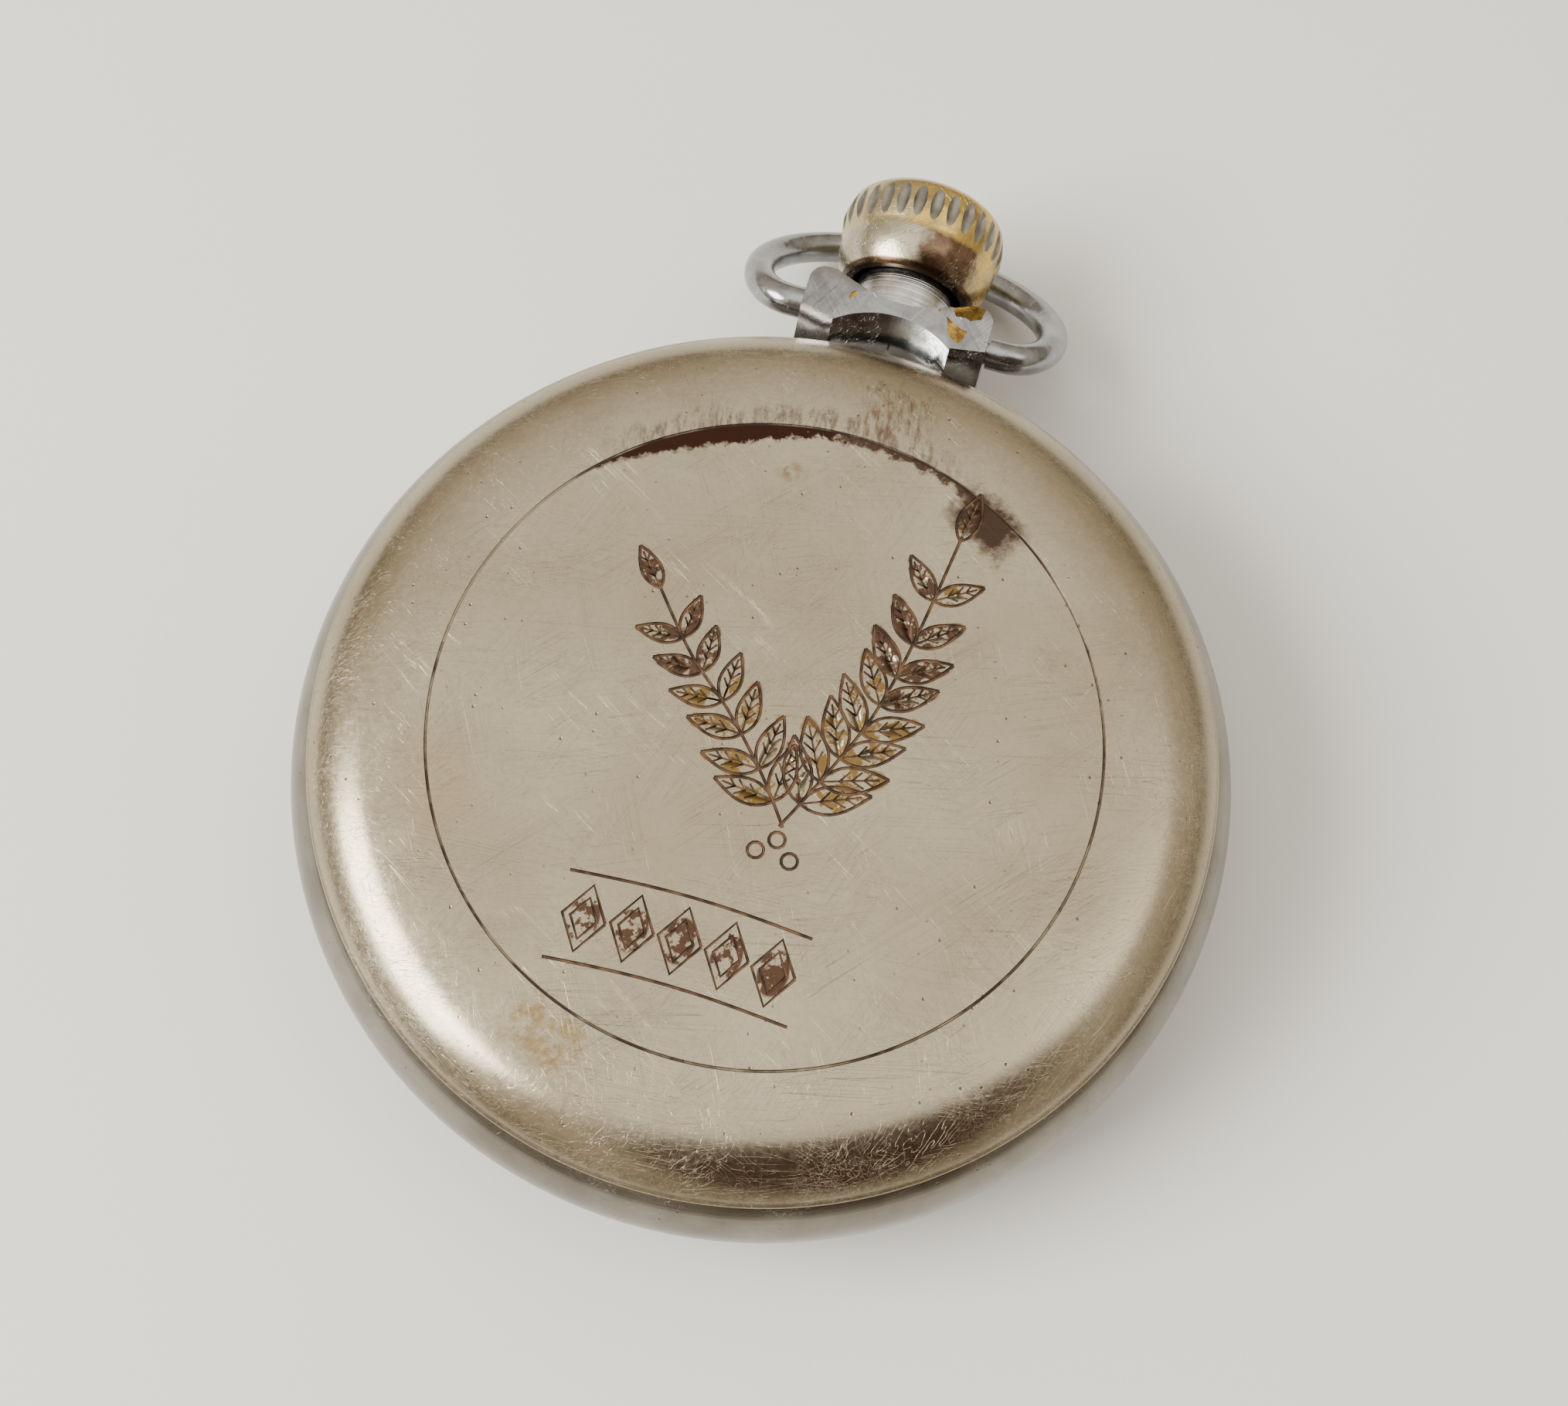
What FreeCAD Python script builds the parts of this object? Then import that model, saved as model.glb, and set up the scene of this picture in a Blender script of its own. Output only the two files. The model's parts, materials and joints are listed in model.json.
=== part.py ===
"""Open face pocket watch with a snap back, a pendant, crown and bow, and a pin lever movement inside.

Millimetres. The origin is on the case axis at the flat front of the crystal, +Z runs out of the back
cover, and +Y runs out through the pendant (12 o'clock). The watch lies dial down.
"""
import FreeCAD, Part
import math
import os
import re
import Sketcher

V = FreeCAD.Vector
OUT = "parts"

# Driving dimensions: alias and value. Heights are measured up from the flat of the crystal.
DIMENSIONS = [
    # case: insets are measured in from the case's widest line
    ("case_radius", 25.0), ("total_height", 13.4), ("stem_height", 7.8), ("belly_radius", 3.6),
    ("band_top", 11.0), ("band_bottom", 4.9), ("ledge_inset", 3.85), ("ledge_front", 5.0),
    ("ledge_back", 9.6), ("back_bore_inset", 2.25), ("snap_inset", 2.4), ("snap_wall", 0.8),
    ("snap_end", 3.55), ("stem_hole", 1.3),
    # back cover
    ("back_wall", 0.7), ("flat_inset", 7.4), ("shoulder_inset", 4.4), ("shoulder_bend", 18.0),
    ("edge_bend", 5.1), ("lip_inset", 1.3), ("lip_wall", 0.23), ("lip_gap", 0.12),
    ("skirt_depth", 0.9), ("skirt_wall", 0.45), ("snap_gap", 0.03), ("ring_inset", 0.25),
    ("ring_width", 0.14), ("ring_depth", 0.06),
    # bezel and crystal
    ("bezel_inset", 1.25), ("bezel_front", 1.15), ("bezel_face_inset", 3.4), ("bezel_bend", 4.6),
    ("bezel_gap", 0.05), ("sight_inset", 4.3), ("crystal_hold", 0.45), ("crystal_edge", 0.75),
    ("crystal_seat", 1.95), ("crystal_flat", 13.0), ("crystal_wall", 1.0),
    # pendant, sleeve, bow and crown
    ("block_width", 10.6), ("block_height", 6.2), ("block_reach", 3.2), ("block_bury", 3.0),
    ("block_corner", 0.9), ("dish_mouth", 5.0), ("dish_depth", 1.1), ("dish_gap", 0.2),
    ("scoop_radius", 5.3), ("scoop_inset", 4.0), ("scoop_depth", 1.55), ("scoop_slope", 1.06),
    ("facet_rise", 0.25), ("facet_inner", 3.35), ("facet_drop", 2.0), ("sleeve_radius", 2.85),
    ("sleeve_reach", 2.7), ("sleeve_thread", 2.0), ("thread_length", 0.8), ("sleeve_nose", 1.25),
    ("stem_gap", 0.12), ("sleeve_bury", 3.6),
    ("bow_wire", 0.9), ("bow_half_width", 8.8), ("bow_reach", 11.0), ("bow_widest", 3.8),
    ("bow_shoulder", 2.5), ("bow_peg_step", 0.22), ("bow_peg_length", 1.0), ("bow_inset", 1.0),
    ("bow_gap", 0.05), ("bow_side_gap", 0.12),
    ("crown_radius", 4.75), ("crown_stand", 1.0), ("crown_length", 5.9), ("recess_gap", 0.4),
    ("recess_depth", 2.9), ("skirt_rim", 0.5), ("crown_skirt_length", 2.5), ("crown_band", 2.5),
    ("crown_belly", 0.25), ("crown_shoulder", 1.45), ("crown_flat", 0.6), ("crown_barrel", 5.6),
    ("flutes", 30), ("flute_radius", 0.42), ("flute_depth", 0.24),
    # stem and keyless work
    ("stem_radius", 0.75), ("stem_square", 0.62), ("stem_pilot", 0.45), ("stem_start", 11.9),
    ("groove_start", 19.15), ("groove_width", 0.5), ("groove_radius", 0.45), ("pinion_start", 17.8),
    ("pinion_length", 1.2), ("winding_teeth", 12), ("winding_module", 0.3), ("clutch_start", 14.1),
    ("clutch_end", 17.5), ("clutch_radius", 1.05), ("clutch_neck", 0.75), ("clutch_groove", 16.35),
    ("clutch_groove_width", 0.56), ("pull_travel", 1.0), ("slide_gap", 0.06),
    # dial and hands
    ("dial_inset", 0.2), ("dial_front", 3.9), ("dial_wall", 0.4), ("dial_hole", 1.1),
    ("seconds_offset", 9.5), ("sub_dial_radius", 4.6), ("sub_dial_depth", 0.15), ("seconds_hole", 0.4),
    ("hand_wall", 0.18), ("hour_hand_length", 10.2), ("minute_hand_length", 16.2),
    ("seconds_hand_length", 3.9), ("hour_hand_front", 2.8), ("minute_hand_front", 2.15),
    ("seconds_hand_front", 3.35), ("foot_radius", 0.4), ("foot_end", 6.3), ("foot_inset", 2.1),
    # plates
    ("plate_gap", 0.15), ("rim_gap", 0.1), ("rim_width", 1.9), ("plate_back", 6.4), ("rim_front", 4.3),
    ("top_front", 8.9), ("top_wall", 0.7), ("top_inset", 0.1),
    ("pillar_radius", 1.1), ("pillar_inset", 2.5), ("plate_screw_head", 1.15), ("screw_shank", 0.45),
    ("head_height", 0.45), ("slot_width", 0.25), ("slot_depth", 0.2), ("case_screw_inset", 1.0),
    ("case_screw_head", 1.5), ("window_gap", 0.5), ("pivot_radius", 0.14), ("pivot_gap", 0.05),
    ("arbor_radius", 0.3), ("end_shake", 0.05),
    # barrel and ratchet
    ("barrel_teeth", 78), ("barrel_module", 0.2), ("barrel_radius", 7.3), ("barrel_front", 6.8),
    ("barrel_back", 8.7), ("barrel_wall", 0.25), ("cover_wall", 0.2), ("barrel_arbor", 1.0),
    ("barrel_core", 2.2), ("spring_strip", 0.16), ("spring_turns", 7), ("ratchet_teeth", 46),
    ("ratchet_wall", 0.5), ("ratchet_gap", 0.05), ("ratchet_head", 1.8), ("crown_wheel_teeth", 30),
    ("crown_wheel_bore", 1.05), ("crown_wheel_head", 2.0), ("click_head", 0.9),
    # going train
    ("center_teeth", 80), ("center_module", 0.14), ("center_pinion_teeth", 12), ("center_shaft", 0.5),
    ("center_seat", 0.85), ("third_teeth", 75), ("third_module", 0.13), ("fourth_teeth", 80),
    ("fourth_module", 0.11), ("pinion_leaves", 10), ("escape_leaves", 8), ("wheel_wall", 0.2),
    ("escape_teeth", 15), ("escape_radius", 3.2), ("center_wheel_front", 6.5), ("third_front", 7.3),
    ("fourth_front", 8.1), ("escape_front", 6.5),
    # motion work
    ("cannon_teeth", 12), ("motion_module", 0.2), ("minute_teeth", 36), ("minute_leaves", 10),
    ("hour_teeth", 40), ("cannon_radius", 0.7), ("hour_pipe", 1.0), ("setting_teeth", 28),
    ("hour_wheel_front", 4.4), ("minute_wheel_front", 4.7), ("setting_disc", 1.7),
    # escapement and balance
    ("balance_x", 12.0), ("balance_y", -5.0), ("balance_radius", 6.5), ("balance_rim", 0.8),
    ("balance_front", 7.9), ("balance_height", 0.8), ("roller_radius", 1.6), ("roller_front", 7.3),
    ("impulse_radius", 1.15), ("lever_front", 6.85), ("pallet_offset", 4.2), ("pallet_circle", 3.58),
    ("pallet_spread", 30.0), ("pallet_pin", 0.12), ("hairspring_front", 9.15), ("hairspring_height", 0.25),
    ("hairspring_strip", 0.07), ("hairspring_radius", 2.9), ("hairspring_turns", 9),
    ("cock_front", 9.9), ("cock_wall", 0.8), ("cock_width", 2.1), ("cock_foot_x", 13.2),
    ("cock_foot_y", 6.5), ("pallet_cock_front", 7.55), ("pallet_cock_wall", 0.3),
]
# Sizes that follow from the driving ones
FOLLOWING = {
    "ledge_radius": "case_radius - ledge_inset", "back_bore": "case_radius - back_bore_inset",
    "snap_radius": "case_radius - snap_inset", "flat_radius": "case_radius - flat_inset",
    "shoulder_radius": "case_radius - shoulder_inset", "lip_radius": "case_radius - lip_inset",
    "lip_under": "band_top + lip_gap", "lip_top": "lip_under + lip_wall",
    "ring_radius": "flat_radius - ring_inset", "bezel_radius": "case_radius - bezel_inset",
    "bezel_face": "case_radius - bezel_face_inset", "sight_radius": "case_radius - sight_inset",
    "crystal_edge_radius": "sight_radius + crystal_hold", "block_end": "case_radius + block_reach",
    "block_root": "case_radius - block_bury", "dish_floor": "block_end - dish_depth",
    "dish_floor_radius": "sleeve_radius + dish_gap", "scoop_center": "case_radius - scoop_inset",
    "facet_start": "case_radius + facet_rise", "sleeve_end": "block_end + sleeve_reach",
    "thread_start": "dish_floor - thread_length", "sleeve_bore": "stem_radius + stem_gap",
    "sleeve_inner_end": "case_radius - sleeve_bury", "bow_peg": "bow_wire - bow_peg_step",
    "bow_pivot": "block_end - bow_inset", "crown_start": "block_end + crown_stand",
    "crown_end": "crown_start + crown_length", "crown_recess": "sleeve_radius + recess_gap",
    "crown_recess_end": "crown_start + recess_depth", "crown_skirt": "crown_recess + skirt_rim",
    "crown_band_start": "crown_start + crown_skirt_length",
    "crown_band_end": "crown_band_start + crown_band", "crown_band_edge": "crown_radius - crown_belly",
    "crown_top_radius": "crown_radius - crown_shoulder", "plate_front": "ledge_front",
    "plate_radius": "ledge_radius - plate_gap", "plate_rim": "snap_radius - snap_wall - rim_gap",
    "rim_inner": "plate_rim - rim_width", "dial_radius": "plate_rim - dial_inset",
    "top_back": "top_front + top_wall", "top_radius": "plate_radius - top_inset",
    "pillar_circle": "plate_radius - pillar_inset", "foot_circle": "plate_radius - foot_inset",
    "case_screw_circle": "plate_radius - case_screw_inset",
    "balance_window": "balance_radius + window_gap",
}
PILLAR_ANGLES = (58, 121, 205, 275, 14)
CASE_SCREW_ANGLES = (160, 300)
DIAL_FOOT_ANGLES = (40, 220)

doc = FreeCAD.newDocument("pocket_watch")
sheet = doc.addObject("Spreadsheet::Sheet", "Size")
for row, (alias, value) in enumerate(DIMENSIONS, 1):
    sheet.set(f"A{row}", alias)
    sheet.set(f"B{row}", str(value))
    sheet.setAlias(f"B{row}", alias)
doc.recompute()
SIZE = {alias: float(sheet.get(alias)) for alias, _ in DIMENSIONS}
WORD = re.compile(r"[a-z_]+")
pieces = []


def size(alias):
    return SIZE[alias]


def spelled(text):
    """The expression with each following size written out in driving ones."""
    return WORD.sub(lambda m: f"({FOLLOWING[m.group()]})" if m.group() in FOLLOWING else m.group(), text)


for following, rule in FOLLOWING.items():
    FOLLOWING[following] = spelled(rule)
    SIZE[following] = float(sheet.evalExpression(FOLLOWING[following]))


def bound(text):
    """The expression with each alias written as a cell of the sheet."""
    return WORD.sub(lambda m: f"Size.{m.group()}" if m.group() in SIZE else m.group(), spelled(text))


def bind(thing, prop, text):
    """Binds a property to an expression of the sheet, or sets a plain number."""
    if isinstance(text, str):
        thing.setExpression(prop, bound(text))
    else:
        setattr(thing, prop, text)


def number(text):
    return float(sheet.evalExpression(spelled(text))) if isinstance(text, str) else float(text)


def new_body(name):
    body = doc.addObject("PartDesign::Body", name)
    body.Label = name
    pieces.append(body)
    return body


def origin_item(body, role):
    return next(item for item in body.Origin.OriginFeatures if item.Role == role)


def new_sketch(body, plane="XY_Plane"):
    sketch = body.newObject("Sketcher::SketchObject", body.Name + "_sketch")
    sketch.AttachmentSupport = [(origin_item(body, plane), "")]
    sketch.MapMode = "FlatFace"
    return sketch


def lock(sketch, kind, *where):
    """Adds one dimension, bound to the sheet when it is given as an expression."""
    *where, text = where
    index = sketch.addConstraint(Sketcher.Constraint(kind, *where, number(text)))
    if isinstance(text, str):
        sketch.setExpression(f"Constraints[{index}]", bound(text))


def arc_center(a, b, radius):
    """The centre of the arc from a to b that bends left (radius > 0) or right (radius < 0)."""
    chord = b - a
    half = chord.Length / 2
    rise = math.sqrt(max(radius * radius - half * half, 0.0))
    side = V(-chord.y, chord.x, 0).normalize()
    return a + chord * 0.5 + side * math.copysign(rise, radius)


def draw(sketch, corners):
    """A closed outline through corners (x, y) or (x, y, bend), where bend is the radius of the arc that
    arrives there: positive keeps its centre on the left of the way there, negative on the right."""
    points = [V(number(c[0]), number(c[1]), 0) for c in corners]
    first = sketch.GeometryCount
    ends = []
    for i, corner in enumerate(corners):
        a, b = points[i - 1], points[i]
        if len(corner) < 3:
            sketch.addGeometry(Part.LineSegment(a, b), False)
            ends.append((1, 2))
            continue
        bend = number(corner[2])
        center = arc_center(a, b, bend)
        start, end = (a, b) if bend > 0 else (b, a)
        circle = Part.Circle(center, V(0, 0, 1), (a - center).Length)
        low = math.atan2(start.y - center.y, start.x - center.x)
        high = math.atan2(end.y - center.y, end.x - center.x)
        sketch.addGeometry(Part.ArcOfCircle(circle, low, high), False)
        ends.append((1, 2) if bend > 0 else (2, 1))
    count = len(corners)
    for i in range(count):
        following = (i + 1) % count
        sketch.addConstraint(Sketcher.Constraint("Coincident", first + i, ends[i][1],
                                                 first + following, ends[following][0]))
    for i, corner in enumerate(corners):
        where = (first + i, ends[i][1])
        for axis, kind, text in ((-2, "DistanceX", corner[0]), (-1, "DistanceY", corner[1])):
            if abs(number(text)) < 1e-9:
                sketch.addConstraint(Sketcher.Constraint("PointOnObject", *where, axis))
            else:
                lock(sketch, kind, -1, 1, *where, text)
        if len(corner) == 3:
            text = corner[2]
            if isinstance(text, str):
                text = f"abs({text})"
            else:
                text = abs(text)
            lock(sketch, "Radius", first + i, text)


def draw_circle(sketch, x, y, radius):
    index = sketch.addGeometry(Part.Circle(V(number(x), number(y), 0), V(0, 0, 1), number(radius)), False)
    lock(sketch, "Radius", index, radius)
    for axis, kind, text in ((-2, "DistanceX", x), (-1, "DistanceY", y)):
        if abs(number(text)) < 1e-9:
            sketch.addConstraint(Sketcher.Constraint("PointOnObject", index, 3, axis))
        else:
            lock(sketch, kind, -1, 1, index, 3, text)


def revolve(body, corners, plane="XZ_Plane", cut=False):
    """Turns a profile of (radius, height) corners about the sketch's upright axis."""
    sketch = new_sketch(body, plane)
    draw(sketch, corners)
    kind = "PartDesign::Groove" if cut else "PartDesign::Revolution"
    feature = body.newObject(kind, body.Name + "_turned")
    feature.Profile = sketch
    feature.ReferenceAxis = (sketch, ["V_Axis"])
    feature.Angle = 360.0
    body.Tip = feature
    return feature


def turned(name, corners, plane="XZ_Plane"):
    body = new_body(name)
    revolve(body, corners, plane)
    return body


def steps(*stages):
    """The profile of a solid spindle: (start height, radius) for each stage and the end height last."""
    corners = [(0.0, stages[0][0])]
    for (low, radius), following in zip(stages, stages[1:]):
        high = following[0] if isinstance(following, tuple) else following
        corners += [(radius, low), (radius, high)]
    return corners + [(0.0, stages[-1])]


def lift(sketch, height):
    """Moves a sketch off its plane to a height."""
    sketch.setExpression("AttachmentOffset.Base.z", bound(height))


def pad(body, outlines, low, high, circles=()):
    """Adds a flat slab between two heights."""
    sketch = new_sketch(body)
    lift(sketch, low)
    for corners in outlines:
        draw(sketch, corners)
    for circle in circles:
        draw_circle(sketch, *circle)
    feature = body.newObject("PartDesign::Pad", body.Name + "_slab")
    feature.Profile = sketch
    feature.Length = number(f"({high}) - ({low})")
    bind(feature, "Length", f"({high}) - ({low})")
    body.Tip = feature
    return feature


def slab(name, outlines, low, high, circles=()):
    body = new_body(name)
    pad(body, outlines, low, high, circles)
    return body


def pocket(body, outlines, low=None, high=None, circles=(), plane="XY_Plane"):
    """Cuts outlines through everything, or only between two heights."""
    sketch = new_sketch(body, plane)
    for corners in outlines:
        draw(sketch, corners)
    for circle in circles:
        draw_circle(sketch, *circle)
    feature = body.newObject("PartDesign::Pocket", body.Name + "_cut")
    feature.Profile = sketch
    if low is None:
        feature.Type = "ThroughAll"
        feature.Midplane = True
    else:
        lift(sketch, high)
        feature.Length = number(f"({high}) - ({low})")
        bind(feature, "Length", f"({high}) - ({low})")
    body.Tip = feature
    return feature


def repeat(body, feature, count, axis="Z_Axis"):
    pattern = body.newObject("PartDesign::PolarPattern", body.Name + "_pattern")
    pattern.Originals = [feature]
    pattern.Axis = (origin_item(body, axis), [""])
    pattern.Angle = 360.0
    bind(pattern, "Occurrences", count)
    body.Tip = pattern
    return pattern


def cut_teeth(body, teeth, module):
    """Cuts the gaps between teeth, the first of them centred on the piece's own +X."""
    pitch = f"{teeth} * {module}"
    root, tip = f"({pitch} / 2 - 1.15 * {module})", f"({pitch} / 2 + 1.1 * {module})"
    floor, mouth = f"0.62 * {module}", f"1.2 * {module}"
    doc.recompute()
    gap = pocket(body, [[(root, f"-{floor}"), (tip, f"-{mouth}"), (tip, mouth), (root, floor)]])
    repeat(body, gap, teeth)


def tip_radius(teeth, module):
    return f"({teeth} * {module} / 2 + 0.8 * {module})"


def wheel(name, teeth, module, bore, low, high, arms=0):
    """A toothed wheel with a bore and, where it has arms, that many windows."""
    body = slab(name, [], low, high, [(0.0, 0.0, tip_radius(teeth, module)), (0.0, 0.0, bore)])
    if arms:
        rim = f"({teeth} * {module} / 2 - 3.2 * {module})"
        hub = f"({bore} + 4 * {module})"
        turn = 360.0 / arms
        inner, outer = number(hub), number(rim)
        spread = [math.radians(turn * part) for part in (0.16, 0.84)]
        edge = [(inner * math.cos(spread[0]), inner * math.sin(spread[0])),
                (outer * math.cos(spread[0]), outer * math.sin(spread[0])),
                (outer * math.cos(spread[1]), outer * math.sin(spread[1]), outer),
                (inner * math.cos(spread[1]), inner * math.sin(spread[1]))]
        doc.recompute()
        repeat(body, pocket(body, [edge]), arms)
    cut_teeth(body, teeth, module)
    return body


def toothed_spindle(name, stages, teeth, module, plane="XZ_Plane"):
    body = turned(name, steps(*stages), plane)
    cut_teeth(body, teeth, module)
    return body


def place(body, x=0.0, y=0.0, z=0.0, turn=0.0):
    body.Placement = FreeCAD.Placement(V(x, y, z), FreeCAD.Rotation(V(0, 0, 1), turn))
    return body


def arm(ax, ay, ra, bx, by, rb):
    """The outline of a tapered arm with round ends about a and b."""
    along = V(bx - ax, by - ay, 0).normalize()
    across = V(-along.y, along.x, 0)
    a, b = V(ax, ay, 0), V(bx, by, 0)
    spots = [a - across * ra, b - across * rb, b + along * rb,
             b + across * rb, a + across * ra, a - along * ra]
    bends = [ra, None, rb, rb, None, ra]
    return [(p.x, p.y) if bend is None else (p.x, p.y, bend) for p, bend in zip(spots, bends)]


def feature(name, shape):
    """A piece whose outline is a formula of the sheet's sizes."""
    item = doc.addObject("Part::Feature", name)
    item.Shape = shape
    item.Label = name
    pieces.append(item)
    return item


def polar(radius, angle):
    return V(radius * math.cos(math.radians(angle)), radius * math.sin(math.radians(angle)), 0)


def lies_at(distance_a, distance_b, a, b, side):
    """The point at two distances from a and b, on the left (side 1) or right (-1) of the way from a to b."""
    way = b - a
    span = way.Length
    along = (distance_a ** 2 - distance_b ** 2 + span ** 2) / (2 * span)
    across = math.sqrt(distance_a ** 2 - along ** 2)
    way.normalize()
    return a + way * along + V(-way.y, way.x, 0) * across * side


def meshed(own_teeth, at, other_teeth, other_at, other_turn):
    """The turn that puts a tooth of this wheel in a gap of the other."""
    heading = math.degrees(math.atan2(at.y - other_at.y, at.x - other_at.x))
    own_pitch, other_pitch = 360.0 / own_teeth, 360.0 / other_teeth
    phase = ((heading - other_turn) / other_pitch) % 1.0
    return heading + 180.0 - own_pitch * (0.5 - phase)


def spaced(teeth_a, teeth_b, module):
    return (size(teeth_a) + size(teeth_b)) * size(module) / 2


# Where the arbors stand
CENTER = V(0, 0, 0)
BARREL = polar(spaced("barrel_teeth", "center_pinion_teeth", "barrel_module"), 145)
FOURTH = V(0, -size("seconds_offset"), 0)
THIRD = lies_at(spaced("center_teeth", "pinion_leaves", "center_module"),
                spaced("third_teeth", "pinion_leaves", "third_module"), CENTER, FOURTH, 1)
ESCAPE = FOURTH + polar(spaced("fourth_teeth", "escape_leaves", "fourth_module"), -25)
BALANCE = V(size("balance_x"), size("balance_y"), 0)
LEVER_WAY = (BALANCE - ESCAPE).normalize()
LEVER_ACROSS = V(-LEVER_WAY.y, LEVER_WAY.x, 0)
PALLET = ESCAPE + LEVER_WAY * size("pallet_offset")
MINUTE = V(0, spaced("cannon_teeth", "minute_teeth", "motion_module"), 0)
SETTING = MINUTE + V(0, spaced("minute_teeth", "setting_teeth", "motion_module"), 0)
winding_edge = size("pinion_start") + size("pinion_length") / 2
CROWN_WHEEL = V(0, winding_edge - size("crown_wheel_teeth") * size("winding_module") / 2, 0)
CLICK = BARREL + polar(8.6, 200)
CLICK_TIP = BARREL + polar(7.37, 225)
PALLET_FOOT = V(9.9, -13.6, 0)
COCK_FOOT = V(size("cock_foot_x"), size("cock_foot_y"), 0)
PILLARS = [polar(size("pillar_circle"), angle) for angle in PILLAR_ANGLES]
CASE_SCREWS = [polar(size("case_screw_circle"), angle) for angle in CASE_SCREW_ANGLES]
DIAL_FEET = [polar(size("foot_circle"), angle) for angle in DIAL_FOOT_ANGLES]
LEVER_POST = V(3.2, size("groove_start") + 0.45, 0)
LEVER_PIN = V(0.72, size("groove_start") + size("groove_width") / 2, 0)
YOKE_POST = V(4.6, size("clutch_groove") - 0.22, 0)
YOKE_PIN = V(0.98, size("clutch_groove") + size("clutch_groove_width") / 2, 0)


# ---- case ----
def band_edge(height):
    """The band's outer radius at a height."""
    return f"case_radius - belly_radius + sqrt(belly_radius ^ 2 - ({height} - stem_height) ^ 2)"


def make_case_band():
    body = turned("case_band", [
        ("back_bore", "ledge_back"), ("ledge_radius", "ledge_back"), ("ledge_radius", "ledge_front"),
        ("snap_radius - snap_wall", "ledge_front"), ("snap_radius - snap_wall", "snap_end"),
        ("snap_radius", "snap_end"), ("snap_radius", "band_bottom"),
        (band_edge("band_bottom"), "band_bottom"), ("case_radius", "stem_height", "belly_radius"),
        (band_edge("band_top"), "band_top", "belly_radius"), ("back_bore", "band_top")])
    doc.recompute()
    sketch = new_sketch(body, "XZ_Plane")
    draw_circle(sketch, 0.0, "stem_height", "stem_hole")
    hole = body.newObject("PartDesign::Pocket", "stem_passage")
    hole.Profile = sketch
    hole.Type = "ThroughAll"
    hole.Reversed = False
    body.Tip = hole
    doc.recompute()
    probe = V(0, size("case_radius") - 1.5, size("stem_height"))
    hole.Reversed = body.Shape.isInside(probe, 0.01, True)


def make_back_cover():
    drop = "(shoulder_bend - sqrt(shoulder_bend ^ 2 - (shoulder_radius - flat_radius) ^ 2))"
    skirt = "back_bore - snap_gap"
    body = turned("back_cover", [
        (0.0, "total_height - back_wall"), ("flat_radius", "total_height - back_wall"),
        ("shoulder_radius - 0.15", f"total_height - {drop} - back_wall", "-shoulder_bend"),
        (f"{skirt} - skirt_wall", "lip_top + 0.25", "-edge_bend"),
        (f"{skirt} - skirt_wall", "band_top - skirt_depth"), (skirt, "band_top - skirt_depth"),
        (skirt, "lip_under"), ("lip_radius", "lip_under"), ("lip_radius", "lip_top"),
        ("shoulder_radius", f"total_height - {drop}", "edge_bend"),
        ("flat_radius", "total_height", "shoulder_bend"), (0.0, "total_height")])
    revolve(body, [("ring_radius - ring_width / 2", "total_height + ring_depth"),
                   ("ring_radius", "total_height - ring_depth"),
                   ("ring_radius + ring_width / 2", "total_height + ring_depth")], cut=True)


def make_bezel():
    seat_end = "(crystal_seat + crystal_edge + bezel_gap)"
    turned("bezel", [
        ("sight_radius", "bezel_front"), ("bezel_face", "bezel_front"),
        ("bezel_radius", "band_bottom - bezel_gap", "bezel_bend"),
        ("snap_radius + snap_gap", "band_bottom - bezel_gap"),
        ("snap_radius + snap_gap", "snap_end - bezel_gap"), ("sight_radius", "snap_end - bezel_gap"),
        ("sight_radius", seat_end), ("crystal_edge_radius", seat_end),
        ("crystal_edge_radius", "crystal_seat"), ("sight_radius", "crystal_seat")])


def make_crystal():
    rise = "crystal_seat"
    run = "(sight_radius - 0.1 - crystal_flat)"
    bend = f"({run} ^ 2 + {rise} ^ 2) / (2 * {rise})"
    turned("crystal", [
        (0.0, 0.0), ("crystal_flat", 0.0), ("sight_radius - 0.1", "crystal_seat", bend),
        ("crystal_edge_radius", "crystal_seat"), ("crystal_edge_radius", "crystal_seat + crystal_edge"),
        ("sight_radius - 0.35", "crystal_seat + crystal_edge"),
        ("crystal_flat", "crystal_wall", f"-({bend}) - 1"), (0.0, "crystal_wall")])


def make_pendant_block():
    """Milled block on the band: scooped and facetted towards the case, dished towards the crown."""
    half, inner = "block_width / 2", "facet_inner"
    body = slab("pendant_block", [[
        (f"-{half}", "block_root"), (half, "block_root"), (half, "block_end - block_corner"),
        (f"{half} - block_corner", "block_end", "block_corner"),
        (f"-{half} + block_corner", "block_end"),
        (f"-{half}", "block_end - block_corner", "block_corner")]],
        "stem_height - block_height / 2", "stem_height + block_height / 2")
    doc.recompute()
    # seat on the band
    revolve(body, [("block_root - 1", "stem_height - block_height"),
                   ("case_radius - belly_radius + 0.001", "stem_height - belly_radius"),
                   ("case_radius", "stem_height", "belly_radius"),
                   ("case_radius - belly_radius + 0.001", "stem_height + belly_radius", "belly_radius"),
                   ("block_root - 1", "stem_height + block_height")], cut=True)
    return body


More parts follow.
